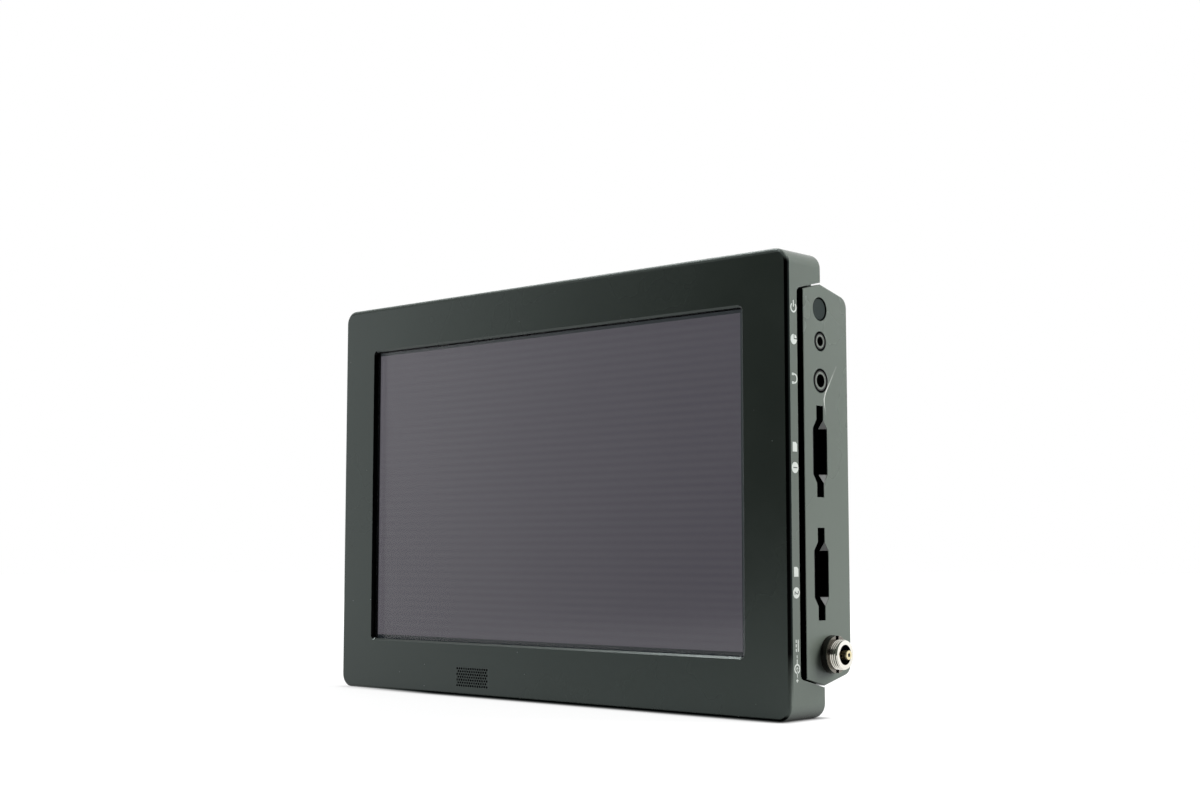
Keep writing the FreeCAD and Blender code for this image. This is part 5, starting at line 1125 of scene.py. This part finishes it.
INSERT_PITCH, INSERT_RUN, INSERT_END = mm(1.27, 5.4, 0.5)
INSERT_RADIUS = 4.2 * MM
insert_low, insert_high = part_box("thread_inserts")
insert_reach = insert_high.x - INSERT_RADIUS
insert_feet = [(x, 0.0, z) for x in (-insert_reach, 0.0, insert_reach)
               for z in (insert_low.z + INSERT_END, insert_high.z - INSERT_END - INSERT_RUN)]
run_tool("insert_threads", thread_tool, insert_feet, "brass", "monitor", "brass",
         Turns=INSERT_RUN / INSERT_PITCH, Radius=2.62 * MM, Height=INSERT_RUN, Ridge=0.26 * MM)

# %% [markdown]
# A thumb finds the battery latches by their ribs. An Array modifier could repeat a bar, but a tree
# keeps number, pitch and length together as named inputs. It lays a row of rounded bars; half of each
# bar sinks into the latch, so only a soft ridge shows. Each latch gets its own mesh, because each
# moves.

# %% Grip ribs on the battery latches
RIB_SINK = 0.02 * MM
rib_tool, tool_in, tool_out = start_group("grip_ribs", {
    "Count": ("Int", 4), "Pitch": 0.0009, "Length": 0.009, "Rib": 0.0003}, kind="Geometry")


def along_axis(axis, value):
    """A vector along one axis."""
    return add_node(rib_tool, "ShaderNodeCombineXYZ", {axis: value}).outputs[0]


rib_ends = [along_axis(0, times(tool_in["Length"], share)) for share in (-0.5, 0.5)]
rib_line = first_out(rib_tool, "GeometryNodeCurvePrimitiveLine", Start=rib_ends[0], End=rib_ends[1])
rib_bar = sweep(rib_tool, rib_line, tool_in["Rib"], 10)
reach = times(minus(tool_in["Count"], 1.0), tool_in["Pitch"], -0.5)
rib_row = first_out(rib_tool, "GeometryNodeMeshLine", Count=tool_in["Count"],
                    Start_Location=along_axis(2, reach), Offset=along_axis(2, tool_in["Pitch"]))
rib_copies = first_out(rib_tool, "GeometryNodeInstanceOnPoints", Points=rib_row, Instance=rib_bar)
end_tool(rib_tool, tool_in, tool_out, rib_copies)

for side in ("left", "right"):
    latch = "battery_latch_" + side
    rib_place = (middle_of(latch).x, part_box(latch)[1].y - RIB_SINK, middle_of(latch).z)
    run_tool("latch_ribs_" + side, rib_tool, [rib_place], "latch_plastic", side + "_battery_latch",
             "grey_plastic", Count=4, Pitch=0.92 * MM, Length=9.0 * MM, Rib=0.28 * MM)

# %% [markdown]
# Under each latch lies a leaf spring: a bowed strip of spring steel that goes flat when the latch is pressed.

# %% Leaf springs
LEAF_THICK = 0.22 * MM
LEAF_STEPS = 32
LEAF_FOOT, LEAF_SLOPE = 0.08, 0.36


def leaf_strip(low, high):
    """A closed strip bowed along X, its ends at low Y and its crown at high Y."""
    strip = bmesh.new()
    rows = []
    for step in range(LEAF_STEPS + 1):
        share = step / LEAF_STEPS
        x = low.x + (high.x - low.x) * share
        climb = min(1.0, max(0.0, (min(share, 1 - share) - LEAF_FOOT) / LEAF_SLOPE))
        y = low.y + (high.y - low.y - LEAF_THICK) * (0.5 - 0.5 * math.cos(math.pi * climb))
        rows.append([strip.verts.new((x, y + lift, z)) for lift, z in
                     ((0, low.z), (0, high.z), (LEAF_THICK, high.z), (LEAF_THICK, low.z))])
    for first, second in zip(rows, rows[1:]):
        bridge(strip, first, second)
    strip.faces.new(rows[0][::-1])
    strip.faces.new(rows[-1])
    return strip


for side in ("left", "right"):
    spring = "latch_spring_" + side
    low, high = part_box(spring)
    leaf = finish_piece("leaf_spring_" + side, leaf_strip(low, high), "spring_steel", "spring_steel", spring)
    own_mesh(leaf)

# %% [markdown]
# Every solid now gets its finish. It could be set piece by piece, but the record already names a slot
# for each, and most finishes are called like their slot. A few pieces share a slot with others but look
# different on the real object, and these are listed by name.

# %% Finishes of the solids
SLOT_FINISH = {"grey_plastic": "latch_plastic"}
OWN_FINISH = {
    "power_button": "button_plastic", "headphone_jack": "headphone_jack_plastic",
    "remote_jack": "remote_jack_plastic", "battery_plate_left": "plate_plastic",
    "battery_plate_right": "plate_plastic", "power_socket_nut": "dark_nut",
    "power_socket_washer": "dark_nut", "power_socket_pin": "hollow_pin", "card_reader_upper": "black_steel",
    "card_reader_lower": "black_steel"}

slot_of = {row["node"]: row["material_slot"] for row in frame["record"]["subparts"]}
for name, solid in nodes.items():
    slot = slot_of[name]
    solid.data.materials.clear()
    solid.data.materials.append(FINISHES[OWN_FINISH.get(name) or SLOT_FINISH.get(slot, slot)])
print("finished", len(nodes), "solids")

# %% [markdown]
# The solids are what fits the real world; the size of the dressed part is printed. The
# dressed part may not grow.

# %% Sizes and finish
low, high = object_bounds()
print("dressed from", in_mm(low), "to", in_mm(high))
